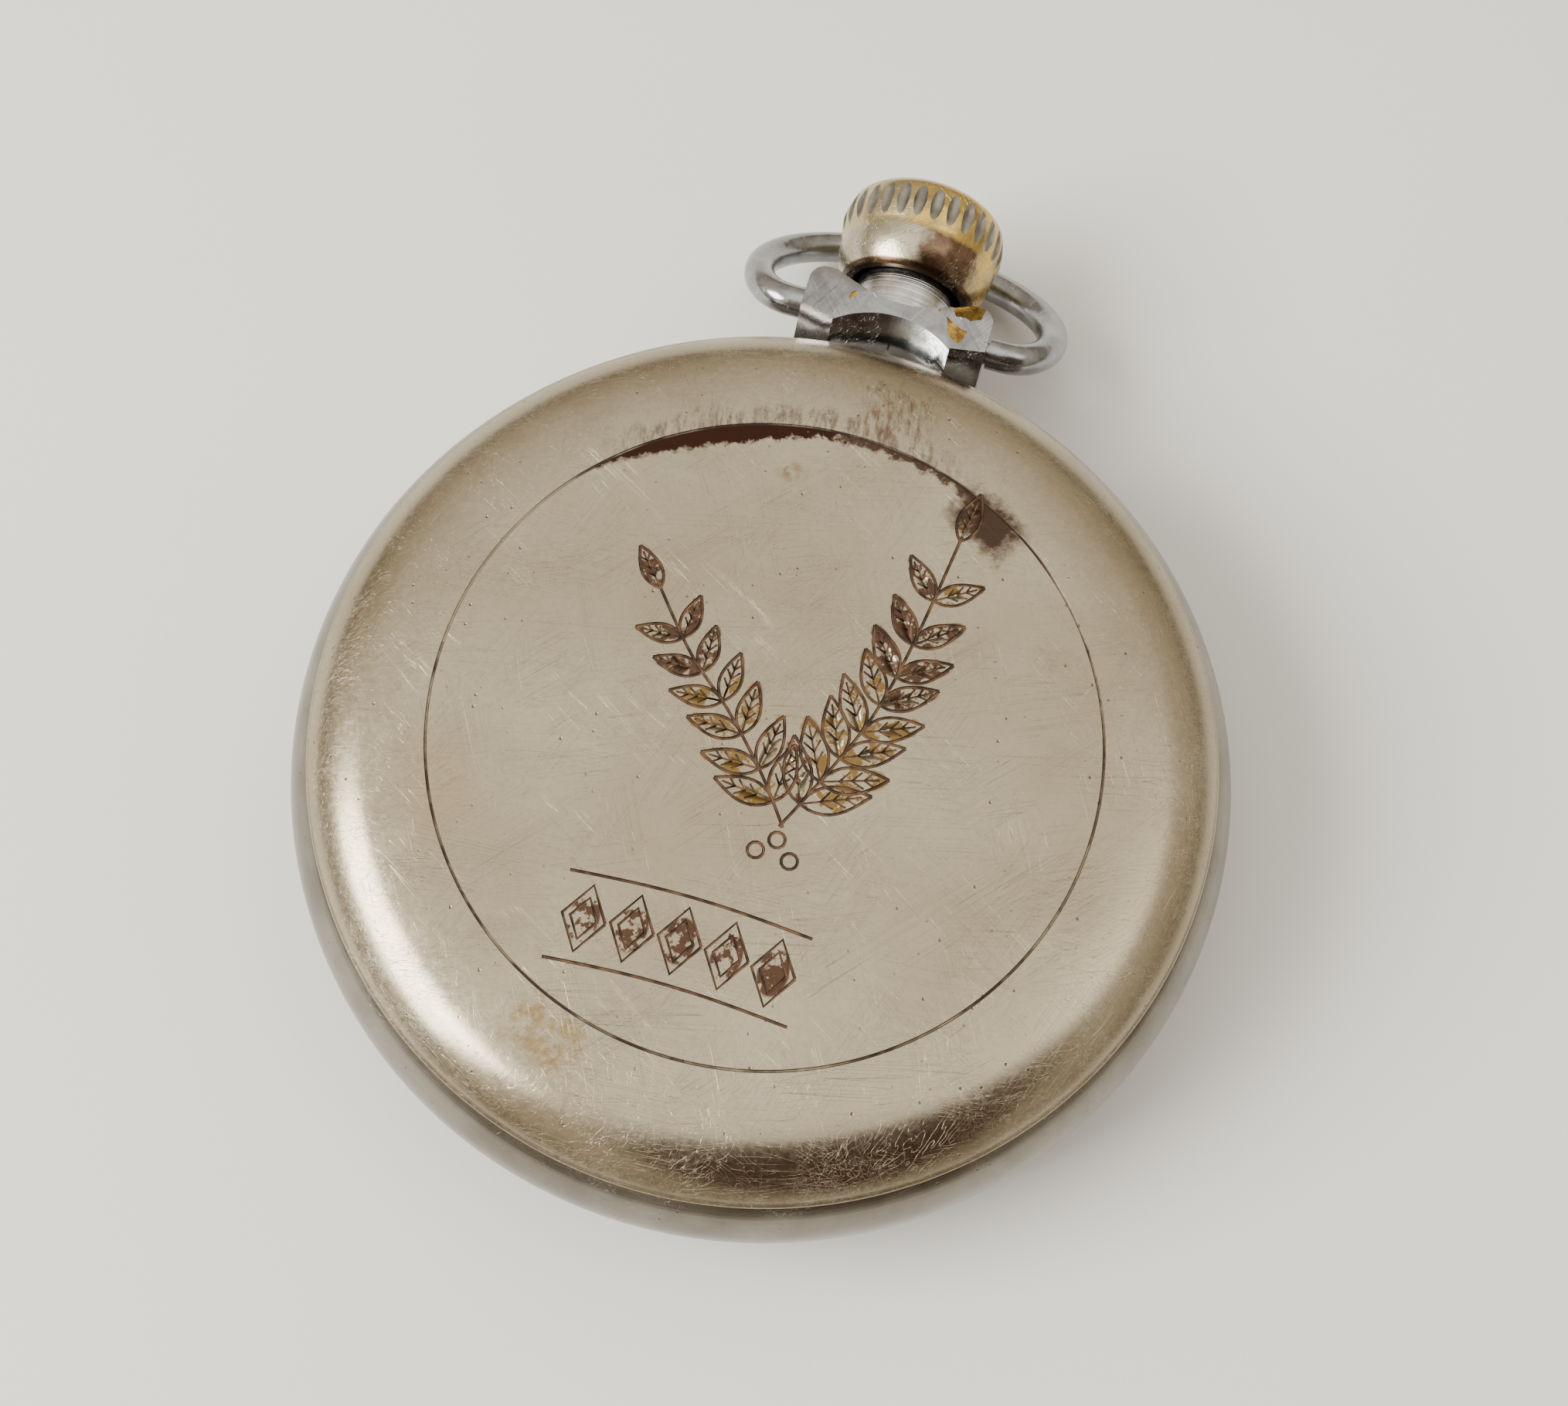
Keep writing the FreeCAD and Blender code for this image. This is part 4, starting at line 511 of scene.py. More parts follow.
# ---- finishes ----
def worn_nickel():
    """The back cover: satin champagne nickel, rubbed every way, pitted, and browned at the ring."""
    finish = Finish("worn_nickel", metal=1.0)
    radius = finish.radius()
    cloud = finish.noise(0.09, 4, 0.55)
    grain = finish.noise(3.2, 4, 0.65)
    clouded = finish.ramp(cloud, ((0.34, 0.0), (0.66, 1.0)))
    tone = finish.mix(clouded, (0.345, 0.29, 0.2), (0.43, 0.375, 0.275))
    grained = finish.times(finish.ramp(grain, ((0.35, 1.0), (0.6, 0.0))), 0.22)
    tone = finish.mix(grained, tone, (0.25, 0.2, 0.13))
    lines = [finish.hairlines(turn, scale, width, seed) for turn, scale, width, seed in
             ((24, 4.0, 0.006, 1.3), (-31, 4.6, 0.006, 4.1), (71, 3.6, 0.006, 7.7), (3, 5.0, 0.005, 13.9),
              (-62, 4.2, 0.006, 15.2), (48, 3.8, 0.005, 21.4), (14, 3.0, 0.005, 25.3))]
    bright = finish.largest(*lines[:4])
    dark = finish.largest(*lines[4:])
    tone = finish.mix(finish.times(bright, 0.25), tone, (0.58, 0.53, 0.42))
    tone = finish.mix(finish.times(dark, 0.4), tone, (0.13, 0.09, 0.06))
    specks = finish.pits(1.15, 0.1, 0.22, 0.4, 0.56)
    dust = finish.pits(3.4, 0.16, 0.4, 0.46, 0.62)
    tone = finish.mix(finish.times(dust, 0.35), tone, (0.18, 0.12, 0.075))
    tone = finish.mix(finish.times(specks, 0.8), tone, (0.09, 0.05, 0.03))
    stains, depth = cover_stains(finish)
    for mask, color in stains:
        tone = finish.mix(mask, tone, color)
    finish.color(tone)
    dull = finish.times(finish.ramp(grain, ((0.3, 0.0), (0.7, 1.0))), 0.1)
    rough = finish.math("ADD", finish.math("ADD", dull, 0.19), finish.times(cloud, 0.1))
    polished_edge = finish.window(radius, RING + 0.6, CASE_RADIUS, 1.2)
    rough = finish.math("SUBTRACT", rough, finish.times(polished_edge, 0.05))
    finish.set("Roughness", finish.math("ADD", rough, finish.times(depth, 0.3), clamp=True))
    finish.bump(finish.times(finish.largest(*lines), -1.0), 0.005)
    finish.bump(finish.times(specks, -1.0), 0.02)
    finish.bump(grain, 0.005)
    return finish.material


def cover_stains(finish):
    """Where the cover is stained: (mask, colour) pairs, and how dull the stains leave it."""
    radius, angle = finish.radius(), finish.angle()
    fray = finish.times(finish.math("SUBTRACT", finish.noise(1.7, 5, 0.7), 0.5), 1.7)
    frayed = finish.math("ADD", radius, fray)
    wander = finish.math("ADD", angle, finish.times(fray, 5.0))
    inside = finish.window(radius, 0, RING - 0.04, 0.04)
    rays = finish.patchy(2.4, 0.44, 0.62, 4, 0.75, finish.turned((1, 3.5, 1), (0, 0, 12)))

    def patch(low, high, first, last, soft, sweep):
        """A frayed patch between two radii and two angles."""
        return finish.times(finish.window(frayed, low, high, soft),
                            finish.window(wander, first, last, sweep))

    breaks = finish.ramp(finish.noise(0.35, 4, 0.6), ((0.38, 0.35), (0.56, 1.0)))
    worn_side = finish.window(wander, 150, 181, 12)
    ring = finish.times(finish.window(radius, RING - 0.05, RING + 0.05, 0.05), breaks,
                        finish.math("SUBTRACT", 1.0, finish.times(worn_side, 0.75)))
    off_middle = finish.math("DIVIDE", finish.math("SUBTRACT", wander, 114.0), 24.0)
    reach = finish.math("SUBTRACT", 1.05, finish.times(off_middle, off_middle, 1.0))
    inner_edge = finish.math("ADD", finish.math("SUBTRACT", frayed, RING), reach)
    inner_edge = finish.math("ADD", inner_edge, 0.3)
    crescent = finish.times(finish.ramp(inner_edge, ((0.2, 0.0), (0.45, 1.0))), inside)
    tail = finish.times(patch(RING - 0.3, RING + 1, 68, 96, 0.25, 6), inside, 0.9)
    wing = finish.times(patch(RING - 1.7, RING + 0.1, 57, 66, 0.7, 4), 0.92)
    cluster = finish.times(patch(RING + 0.9, RING + 3.1, 81, 88, 0.9, 4), rays, 0.85)
    halo = finish.times(patch(RING, RING + 0.8, 76, 128, 0.6, 9), rays, 0.6)
    low = finish.times(patch(RING + 0.7, RING + 2.6, -113, -105, 0.8, 3),
                       finish.patchy(1.4, 0.4, 0.6, 4, 0.7), 0.7)
    side = finish.times(patch(RING - 1.6, RING + 0.6, -160, -148, 1.2, 6), 0.25)
    spot = finish.times(finish.ellipse(-2.75, 14.4, 20, 0.55, 0.35, 0.9),
                        finish.patchy(2.2, 0.36, 0.6, 3), 0.7)
    bloom = finish.times(finish.ellipse(-2.0, 8.2, 0, 2.4, 1.9, 0.6),
                         finish.pits(2.6, 0.2, 0.8, 0.4, 0.56), 0.6)
    stains = ((side, (0.36, 0.25, 0.12)), (low, (0.25, 0.15, 0.045)), (spot, (0.17, 0.085, 0.025)),
              (bloom, (0.24, 0.17, 0.11)), (halo, TARNISH), (cluster, (0.15, 0.085, 0.05)), (wing, TARNISH),
              (tail, TARNISH), (crescent, TARNISH), (ring, (0.06, 0.04, 0.03)))
    worn = engraving_wear(finish)
    return (*worn, *stains), finish.largest(crescent, wing, ring, *[mask for mask, _ in worn])


def engraving_wear(finish):
    """Brown and brass showing in patches of the leaves and lozenges, where the plating has gone."""
    leaves = leaf_places()
    brassy, browned = [], []
    for i, leaf in enumerate(leaves):
        x, y, turn, length, width = leaf
        middle = leaf_point(leaf, 0.5, 0)
        mask = finish.ellipse(*middle, math.degrees(turn), 0.46 * length, 0.86 * width)
        (brassy if i % 14 < 8 else browned).append(mask)
    lozenges = [finish.ellipse(x, y, 0, 0.74, 1.15) for x, y in band_strokes()[1]]
    brass = finish.times(finish.largest(*brassy), finish.patchy(1.0, 0.5, 0.54, 4, 0.7))
    brown = finish.times(finish.largest(*browned, *lozenges), finish.patchy(1.3, 0.47, 0.51, 4, 0.7))
    return (finish.times(brass, 0.92), OLD_BRASS), (finish.times(brown, 0.92), (0.075, 0.034, 0.02))


def groove_dirt(name, dark, light):
    """The floor of a cut line, filled with old dirt that glints where it is rubbed."""
    finish = Finish(name, metal=0.6)
    finish.color(finish.mix(finish.patchy(1.2, 0.4, 0.62, 3), dark, light))
    finish.set("Roughness", finish.math("ADD", finish.times(finish.noise(5.0), 0.3), 0.35))
    finish.bump(finish.noise(14.0, 3), 0.01)
    return finish.material


def satin_nickel():
    """Band and bezel: grey satin nickel with lathe lines round the case and knocks on the edges."""
    finish = Finish("satin_nickel", metal=1.0)
    rings = finish.noise(9.0, 3, 0.6, finish.turned((400, 400, 1)))
    cloud = finish.noise(0.25, 4, 0.6)
    clouded = finish.ramp(cloud, ((0.35, 0.0), (0.65, 1.0)))
    tone = finish.mix(clouded, (0.19, 0.17, 0.142), (0.28, 0.255, 0.215))
    lathed = finish.times(finish.ramp(rings, ((0.4, 1.0), (0.6, 0.0))), 0.25)
    tone = finish.mix(lathed, tone, (0.2, 0.175, 0.15))
    lines = finish.largest(finish.hairlines(40, 4.0, 0.006, 2.2), finish.hairlines(-25, 4.5, 0.006, 6.4))
    pits = finish.pits(1.6, 0.12, 0.4, 0.45, 0.6)
    tone = finish.mix(finish.times(lines, 0.4), tone, (0.6, 0.58, 0.54))
    tone = finish.mix(finish.times(pits, 0.7), tone, (0.1, 0.07, 0.05))
    finish.color(tone)
    finish.set("Roughness", finish.math("ADD", finish.times(cloud, 0.16), 0.17))
    finish.bump(rings, 0.006)
    finish.bump(finish.times(finish.largest(lines, pits), -1.0), 0.015)
    return finish.material


def chrome_plate():
    """Pendant block and bow: bright chrome, slightly clouded, with fine pits."""
    finish = Finish("chrome_plate", metal=1.0)
    cloud = finish.noise(0.9, 4, 0.6)
    pits = finish.pits(2.6, 0.1, 0.7, 0.5, 0.62)
    lines = finish.largest(finish.hairlines(60, 5.0, 0.008, 3.1), finish.hairlines(-50, 5.5, 0.008, 9.4))
    clouded = finish.ramp(cloud, ((0.35, 0.0), (0.68, 1.0)))
    tone = finish.mix(clouded, (0.25, 0.25, 0.256), (0.38, 0.38, 0.386))
    tone = finish.mix(finish.times(pits, 0.8), tone, (0.12, 0.1, 0.09))
    tone = finish.mix(finish.times(lines, 0.3), tone, (0.62, 0.62, 0.63))
    finish.color(tone)
    finish.set("Roughness", finish.math("ADD", finish.times(cloud, 0.2), 0.1))
    finish.bump(cloud, 0.03, 0.5)
    finish.bump(finish.times(finish.largest(lines, pits), -1.0), 0.02)
    return finish.material


def bare_brass():
    """Brass where a flake of chrome has gone, tarnished towards its edges."""
    finish = Finish("bare_brass", metal=1.0)
    tone = finish.mix(finish.patchy(1.6, 0.42, 0.62, 4, 0.6), (0.52, 0.35, 0.09), (0.2, 0.11, 0.035))
    finish.color(tone)
    finish.set("Roughness", finish.math("ADD", finish.times(finish.noise(4.0, 3), 0.25), 0.3))
    finish.bump(finish.noise(7.0, 4), 0.03)
    return finish.material


def plated_brass():
    """The crown: silvery skirt browned on one side, and gilt ridges. The skirt's colours are laid by side
    across X, and its silver across the middle is a painted highlight.
    """
    finish = Finish("plated_brass", metal=1.0)
    parts = finish.split()
    uneven = finish.times(finish.math("SUBTRACT", finish.noise(0.9, 4, 0.65), 0.5), 2.2)
    across = finish.math("ADD", parts["X"], uneven)
    outward = finish.math("ADD", parts["Y"], finish.times(uneven, 0.25))
    # Silvery plating; across the middle of the skirt this silver is a painted highlight.
    silver_and_highlight = finish.mix(finish.patchy(0.8, 0.35, 0.65, 4), (0.4, 0.35, 0.25), (0.54, 0.49, 0.38))
    purple = finish.mix(finish.patchy(1.4, 0.38, 0.62, 3), (0.11, 0.065, 0.045), (0.2, 0.13, 0.08))
    gilt = finish.mix(finish.patchy(1.1, 0.4, 0.64, 3), (0.6, 0.41, 0.11), (0.42, 0.31, 0.12))
    # Skirt colour by side across X: silver with its painted highlight on the left and middle, purple-brown
    # from 0.7 to 3.2, gilt from 3.9 to 6.
    skirt = finish.mix(finish.window(across, 0.7, 3.2, 0.8), silver_and_highlight, purple)
    skirt = finish.mix(finish.window(across, 3.9, 6.0, 0.6), skirt, gilt)
    ridge_start = CROWN_LOW.y + 2.35
    ridge = finish.window(outward, ridge_start, CROWN_HIGH.y + 2, 0.22)
    # The ridges are paler and silver-gold on the left (-X) side, gilt elsewhere.
    worn = finish.mix(finish.window(across, -6, -1.6, 1.4), gilt, (0.52, 0.43, 0.24))
    tone = finish.mix(ridge, skirt, worn)
    about_stem = finish.radius(finish.turned(shift=(0, 0, STEM)), "X", "Z")
    rim = finish.window(about_stem, 0, 3.9, 0.12)
    rim = finish.times(rim, finish.window(parts["Y"], 0, CROWN_LOW.y + 0.25, 0.12))
    tone = finish.mix(rim, tone, (0.08, 0.05, 0.03))
    lines = finish.largest(finish.hairlines(35, 4.0, 0.012, 2.0), finish.hairlines(-40, 4.4, 0.012, 5.0),
                           finish.hairlines(80, 4.2, 0.01, 9.0))
    finish.color(finish.mix(finish.times(lines, 0.4), tone, (0.85, 0.78, 0.6)))
    finish.set("Roughness", finish.math("ADD", finish.times(finish.noise(2.5, 4), 0.2), 0.16))
    finish.bump(finish.times(lines, -1.0), 0.02)
    finish.bump(finish.noise(6.0, 4), 0.008)
    return finish.material


def flute_nickel():
    """The crown's flutes, where grey nickel still covers the brass."""
    finish = Finish("flute_nickel", metal=1.0)
    finish.color(finish.mix(finish.patchy(1.2, 0.35, 0.65, 3), (0.2, 0.185, 0.16), (0.33, 0.31, 0.27)))
    finish.set("Roughness", finish.math("ADD", finish.times(finish.noise(6.0), 0.2), 0.28))
    finish.bump(finish.noise(12.0, 3), 0.008)
    return finish.material


def steel(name, dark, light, rough, lathe_axis=None):
    """Polished steel, with fine turning lines where it is turned."""
    finish = Finish(name, metal=1.0)
    tone = finish.mix(finish.patchy(1.4, 0.35, 0.65, 4), dark, light)
    spots = finish.pits(3.0, 0.1, 0.8, 0.5, 0.64)
    finish.color(finish.mix(finish.times(spots, 0.6), tone, (0.1, 0.08, 0.06)))
    finish.set("Roughness", finish.math("ADD", finish.times(finish.noise(3.0, 3), 0.16), rough))
    if lathe_axis:
        stretch = [1 if axis == lathe_axis else 300 for axis in "XYZ"]
        finish.bump(finish.noise(7.0, 2, 0.6, finish.turned(stretch)), 0.04)
    finish.bump(finish.noise(20.0, 3), 0.004)
    return finish.material


def crystal_glass():
    """The front crystal: clear, with faint rub marks."""
    finish = Finish("crystal_glass")
    finish.color((0.96, 0.975, 0.97))
    finish.set("Transmission Weight", 1.0)
    finish.shader.inputs["IOR"].default_value = 1.49
    lines = finish.largest(finish.hairlines(30, 3.5, 0.006, 3.3), finish.hairlines(-45, 3.8, 0.006, 8.8))
    rough = finish.math("ADD", finish.times(lines, 0.2), finish.times(finish.noise(0.3, 3), 0.03))
    finish.set("Roughness", rough)
    finish.bump(finish.times(lines, -1.0), 0.01)
    return finish.material


def dial_lacquer():
    """Aged cream lacquer, darker towards the edge, with fine freckles."""
    finish = Finish("dial_lacquer")
    edge = finish.ramp(finish.math("DIVIDE", finish.radius(), DIAL_HIGH.x), ((0.7, 0.0), (1.0, 0.75)))
    tone = finish.mix(finish.patchy(0.2, 0.35, 0.65, 4), (0.80, 0.755, 0.64), (0.84, 0.8, 0.7))
    tone = finish.mix(edge, tone, (0.62, 0.52, 0.36))
    freckles = finish.pits(1.6, 0.07, 0.3, 0.5, 0.66)
    finish.color(finish.mix(finish.times(freckles, 0.5), tone, (0.3, 0.2, 0.1)))
    finish.set("Roughness", finish.math("ADD", finish.times(finish.noise(0.8, 3), 0.12), 0.32))
    finish.set("Coat Weight", 0.3)
    finish.bump(finish.noise(2.4, 4), 0.006)
    return finish.material


def dial_ink():
    finish = Finish("dial_ink")
    finish.color(finish.mix(finish.patchy(3.0, 0.35, 0.65, 3), (0.012, 0.012, 0.014), (0.035, 0.032, 0.03)))
    finish.set("Roughness", finish.math("ADD", finish.times(finish.noise(6.0, 2), 0.2), 0.35))
    finish.bump(finish.noise(9.0, 2), 0.004)
    return finish.material


def blued_steel():
    finish = Finish("blued_steel", metal=1.0)
    tone = finish.mix(finish.patchy(0.5, 0.35, 0.65, 3), (0.012, 0.03, 0.16), (0.035, 0.06, 0.26))
    finish.color(finish.mix(finish.pits(2.4, 0.1, 0.6, 0.5, 0.6), tone, (0.1, 0.06, 0.05)))
    finish.set("Roughness", finish.math("ADD", finish.times(finish.noise(4.0, 2), 0.12), 0.14))
    finish.bump(finish.noise(14.0, 2), 0.003)
    return finish.material


def striped_plate():
    """Movement plates: nickel with broad ruled stripes."""
    finish = Finish("striped_plate", metal=1.0)
    across = finish.split(finish.turned((1, 1, 1), (0, 0, 35)))["X"]
    wave = finish.math("SINE", finish.times(across, 2 * math.pi / 1.8))
    stripe = finish.ramp(finish.math("ADD", finish.times(wave, 0.5), 0.5), ((0.1, 0.0), (0.9, 1.0)))
    fine = finish.noise(10.0, 2, 0.5, finish.turned((1, 90, 1), (0, 0, 35)))
    tone = finish.mix(stripe, (0.52, 0.48, 0.38), (0.68, 0.65, 0.55))
    grained = finish.times(finish.ramp(fine, ((0.4, 1.0), (0.6, 0.0))), 0.25)
    tone = finish.mix(grained, tone, (0.4, 0.36, 0.27))
    pits = finish.times(finish.pits(1.8, 0.08, 0.3, 0.5, 0.62), 0.7)
    finish.color(finish.mix(pits, tone, (0.2, 0.13, 0.07)))
    finish.set("Roughness", finish.math("ADD", finish.times(stripe, 0.14), 0.22))
    finish.bump(stripe, 0.02)
    finish.bump(fine, 0.006)
    return finish.material


def grained_metal(name, dark, light, spot, rough=0.26):
    """Wheel and spring metal with a straight fine grain and a few age spots."""
    finish = Finish(name, metal=1.0)
    fine = finish.noise(9.0, 2, 0.5, finish.turned((60, 1, 1), (0, 0, 20)))
    tone = finish.mix(finish.ramp(fine, ((0.35, 0.0), (0.65, 1.0))), dark, light)
    finish.color(finish.mix(finish.times(finish.patchy(0.7, 0.56, 0.72, 4, 0.6), 0.6), tone, spot))
    finish.set("Roughness", finish.math("ADD", finish.times(finish.noise(2.0, 3), 0.16), rough))
    finish.bump(fine, 0.006)
    return finish.material


# ---- pieces ----
def make_back_cover(nickel):
    """The snap back, turned, with the circle cut as a groove and the ornament cut in the flat."""
    wall, bend, edge_bend = 0.7, 18.0, 5.1
    flat, shoulder, lip = CASE_RADIUS - 7.4, CASE_RADIUS - 4.4, CASE_RADIUS - 1.3
    drop = bend - math.sqrt(bend ** 2 - (shoulder - flat) ** 2)
    top = BACK - drop
    lip_low, skirt_low, bore = 11.12, COVER_LOW.z, CASE_RADIUS - 2.28
    inner = [(16.0, BACK - wall), (flat, BACK - wall), (shoulder - 0.3, top - wall - 0.05)]
    inner += [(bore - 0.75, top - 1.35), (bore - 0.45, lip_low + 0.35), (bore - 0.45, skirt_low + 0.12),
              (bore - 0.35, skirt_low), (bore - 0.1, skirt_low), (bore, skirt_low + 0.1), (bore, lip_low),
              (lip - 0.1, lip_low)]
    bead = [(lip - 0.03, lip_low + 0.03), (lip, lip_low + 0.08), (lip, lip_low + 0.15),
            (lip - 0.03, lip_low + 0.2), (lip - 0.09, lip_low + 0.24)]
    dome = arc(bead[-1], (shoulder, top), edge_bend, 16) + arc((shoulder, top), (flat, BACK), bend, 6)
    groove = [(RING + 0.08, BACK), (RING + 0.03, BACK - 0.05),
              (RING - 0.03, BACK - 0.05), (RING - 0.08, BACK)]
    cover = turn_piece("engraved_back", inner + bead + dome + groove + [(RING - 0.4, BACK)], 256)
    cover.data.materials.append(nickel)
    edges, fine = sprig_strokes()
    lozenge_edges, _ = band_strokes()
    dirt = groove_dirt("line_dirt", (0.045, 0.025, 0.016), (0.16, 0.09, 0.05))
    cuts = (("edge_cutter", edges + lozenge_edges, 0.17), ("vein_cutter", fine, 0.11))
    for name, strokes, thickness in cuts:
        cut_out(cover, draw_lines(name, strokes, thickness, BACK), dirt, self_crossing=True)
    return settle(cover, "back", "worn_nickel", "back_cover", smooth=30)


def make_crown(gilt):
    """The winding crown: smooth skirt, thirty pointed flutes, and a slightly domed end."""
    start, end, radius = CROWN_LOW.y, CROWN_HIGH.y, CROWN_HIGH.x
    band_low, band_high, edge = start + 2.5, start + 5.0, radius - 0.25
    middle, barrel = (band_low + band_high) / 2, 5.6
    rings = [(3.25, start + 2.9), (3.25, start + 0.08), (3.33, start), (3.68, start), (3.77, start + 0.06)]
    rings += arc((3.77, start + 0.06), (edge, band_low), 4.2, 12)
    rings += arc((edge, band_low), (radius, middle), barrel, 8)
    rings += arc((radius, middle), (edge, band_high), barrel, 8)
    rings += arc((edge, band_high), (3.3, end - 0.2), 1.5, 8) + arc((3.3, end - 0.2), (0.6, end), 18.5, 5)
    crown = turn_piece("fluted_crown", rings, 240)
    crown.data.materials.append(gilt)
    bpy.ops.object.select_all(action="DESELECT")
    flutes, flute_radius, flute_depth = 30, 0.42, 0.24
    reach = radius + flute_radius - flute_depth
    bpy.ops.mesh.primitive_uv_sphere_add(segments=12, ring_count=12, radius=flute_radius * MM,
                                         location=(reach * MM, 0, middle * MM), scale=(1, 1, 4.9))
    cutter = bpy.context.object
    bpy.ops.object.transform_apply(location=True, rotation=True, scale=True)
    cutters = [cutter]
    for _ in range(flutes - 1):
        bpy.ops.object.duplicate()
        bpy.context.object.rotation_euler = (0, 0, math.radians(360 / flutes))
        bpy.ops.object.transform_apply(location=False, rotation=True, scale=False)
        cutters.append(bpy.context.object)
    for cutter in cutters:
        cutter.select_set(True)
    bpy.ops.object.join()
    cut_out(crown, bpy.context.object, flute_nickel())
    crown.rotation_euler = (math.radians(-90), 0, 0)
    crown.location = (0, 0, STEM * MM)
    return settle(crown, "stem", "plated_brass", "crown", smooth=32)


# Flakes gone from the chrome: outlines (x, y) on the block's back face, and how deep each goes
FLAKES = (
    (((2.85, 28.4), (4.25, 28.4), (4.75, 28.25), (4.6, 27.45), (4.05, 27.2), (3.75, 27.32), (3.2, 27.25),
      (2.9, 27.75)), 0.06),
    (((2.72, 27.1), (3.1, 26.85), (3.55, 26.6), (4.05, 26.5), (3.9, 25.95), (3.75, 25.62), (3.35, 25.8),
      (3.0, 26.1)), 0.09),
    (((-2.85, 26.6), (-2.6, 26.68), (-2.42, 27.1), (-2.55, 27.2), (-2.78, 27.02)), 0.07),
    (((2.16, 27.3), (2.26, 27.26), (2.34, 27.36), (2.26, 27.46), (2.17, 27.42)), 0.06),
)


def make_pendant_block(chrome):
    """The milled pendant block with softened edges and flakes of plating gone."""
    block = copy_of("pendant_block", "chipped_block")
    block.data.materials.append(chrome)
    bevel = block.modifiers.new("soft_edges", "BEVEL")
    bevel.width = 0.09 * MM
    bevel.segments = 2
    bevel.limit_method = "ANGLE"
    bevel.angle_limit = math.radians(28)
    bevel.use_clamp_overlap = True
    bpy.context.view_layer.objects.active = block
    bpy.ops.object.modifier_apply(modifier=bevel.name)
    brass = bare_brass()
    for outline, depth in FLAKES:
        bpy.ops.object.select_all(action="DESELECT")
        bpy.ops.mesh.primitive_circle_add(vertices=len(outline), radius=MM, fill_type="NGON",
                                          location=(0, 0, (BLOCK_HIGH.z - depth) * MM))
        flake = bpy.context.object
        bpy.ops.object.transform_apply(location=True)
        for vertex, (x, y) in zip(flake.data.vertices, reversed(outline)):
            vertex.co.x, vertex.co.y = x * MM, y * MM
        rise = {"value": (0, 0, 0.5 * MM)}
        edit(flake, lambda: bpy.ops.mesh.extrude_region_move(TRANSFORM_OT_translate=rise),
             lambda: bpy.ops.mesh.select_all(action="SELECT"),
             lambda: bpy.ops.mesh.normals_make_consistent(inside=False))
        cut_out(block, flake, brass)
    return settle(block, "case", "chrome_plate", "pendant_block", smooth=30)


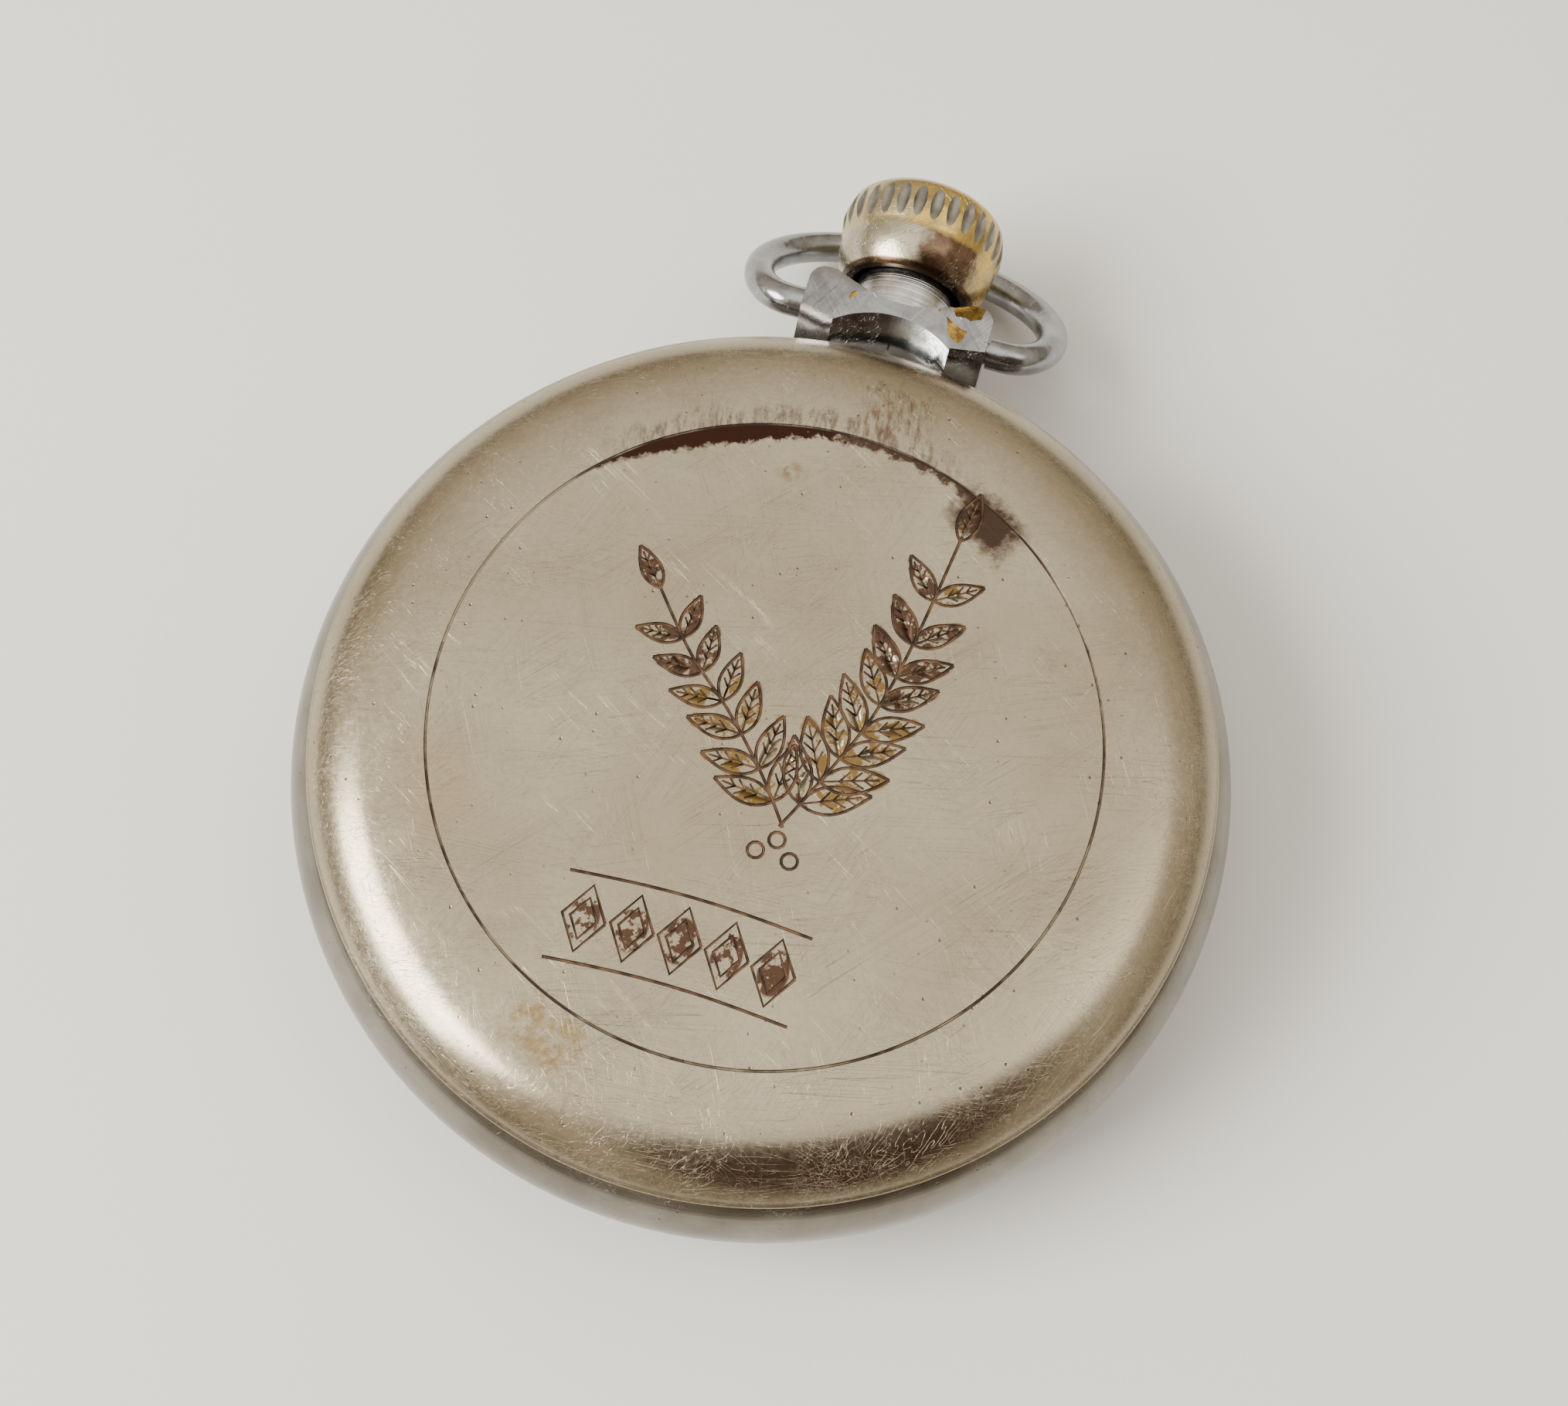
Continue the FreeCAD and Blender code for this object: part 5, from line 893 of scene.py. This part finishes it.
def make_dial_print(ink):
    """Hours, minute track and small seconds track, printed on the front of the dial."""
    face = DIAL_LOW.z
    print_wall = 0.03
    middle = face - print_wall / 2
    numeral_ring, seconds_center = 16.2, -9.5
    pieces = []

    def bar(radius, degrees, width, length, center=(0, 0)):
        """A radial mark; angles run clockwise from 12 as the dial is read."""
        turn = math.radians(degrees)
        x, y = center[0] - radius * math.sin(turn), center[1] + radius * math.cos(turn)
        bpy.ops.mesh.primitive_cube_add(size=1, location=(x * MM, y * MM, middle * MM),
                                        rotation=(0, 0, turn),
                                        scale=(width * MM, length * MM, print_wall * MM))
        pieces.append(bpy.context.object)

    for minute in range(60):
        bar(19.6, 6 * minute, 0.26 if minute % 5 == 0 else 0.12, 1.1 if minute % 5 == 0 else 0.8)
    for second in range(60):
        bar(4.15, 6 * second, 0.07, 0.5 if second % 5 == 0 else 0.3, (0, seconds_center))
    for radius, center in ((20.15, 0), (19.05, 0), (4.42, seconds_center), (3.95, seconds_center)):
        bpy.ops.mesh.primitive_torus_add(location=(0, center * MM, face * MM), major_radius=radius * MM,
                                         minor_radius=0.035 * MM, major_segments=120, minor_segments=6)
        pieces.append(bpy.context.object)
    for hour in range(1, 13):
        if hour == 6:  # the small seconds dial takes its place
            continue
        turn = math.radians(30 * hour)
        bpy.ops.object.text_add()
        numeral = bpy.context.object
        numeral.data.body = str(hour)
        numeral.data.size = 4.3 * MM
        numeral.data.align_x, numeral.data.align_y = "CENTER", "CENTER"
        numeral.data.extrude = print_wall / 2 * MM
        bpy.ops.object.convert(target="MESH")
        numeral = bpy.context.object
        numeral.location = (-numeral_ring * math.sin(turn) * MM, numeral_ring * math.cos(turn) * MM,
                            middle * MM)
        numeral.rotation_euler = (0, math.pi, 0)
        pieces.append(numeral)
    bpy.ops.object.select_all(action="DESELECT")
    for piece in pieces:
        piece.select_set(True)
    bpy.context.view_layer.objects.active = pieces[0]
    bpy.ops.object.join()
    joined = bpy.context.object
    joined.name = "dial_print"
    joined.data.materials.clear()
    joined.data.materials.append(ink)
    return settle(joined, "case", "hand_blue", smooth=0)


def paint_nodes(finishes):
    """Gives every CAD node the finish of its material slot in the record."""
    slots = {part["node"]: part["material_slot"] for part in frame["record"]["subparts"]}
    for name, node in NODES.items():
        node.data.materials.clear()
        node.data.materials.append(finishes.get(name) or finishes[slots[name]])


place_camera()
light_studio()
lay_floor()
FINISHES = {
    "worn_nickel": worn_nickel(), "satin_nickel": satin_nickel(), "chrome_plate": chrome_plate(),
    "crystal": crystal_glass(), "plated_brass": plated_brass(),
    "polished_steel": steel("polished_steel", (0.42, 0.42, 0.42), (0.6, 0.6, 0.59), 0.12),
    "pendant_sleeve": steel("turned_steel", (0.5, 0.49, 0.47), (0.68, 0.67, 0.65), 0.16, "Y"),
    "screw_steel": steel("screw_steel", (0.3, 0.32, 0.38), (0.46, 0.48, 0.54), 0.1),
    "dial_enamel": dial_lacquer(), "hand_blue": blued_steel(), "plate_nickel": striped_plate(),
    "train_brass": grained_metal("train_brass", (0.6, 0.42, 0.14), (0.76, 0.57, 0.23), (0.36, 0.22, 0.08)),
    "copper": grained_metal("foot_copper", (0.55, 0.24, 0.13), (0.7, 0.34, 0.2), (0.25, 0.12, 0.07)),
    "spring_steel": grained_metal("spring_steel", (0.14, 0.16, 0.24), (0.3, 0.33, 0.42),
                                  (0.1, 0.08, 0.08), 0.18),
}
paint_nodes(FINISHES)
make_back_cover(FINISHES["worn_nickel"])
make_crown(FINISHES["plated_brass"])
make_pendant_block(FINISHES["chrome_plate"])
make_dial_print(dial_ink())
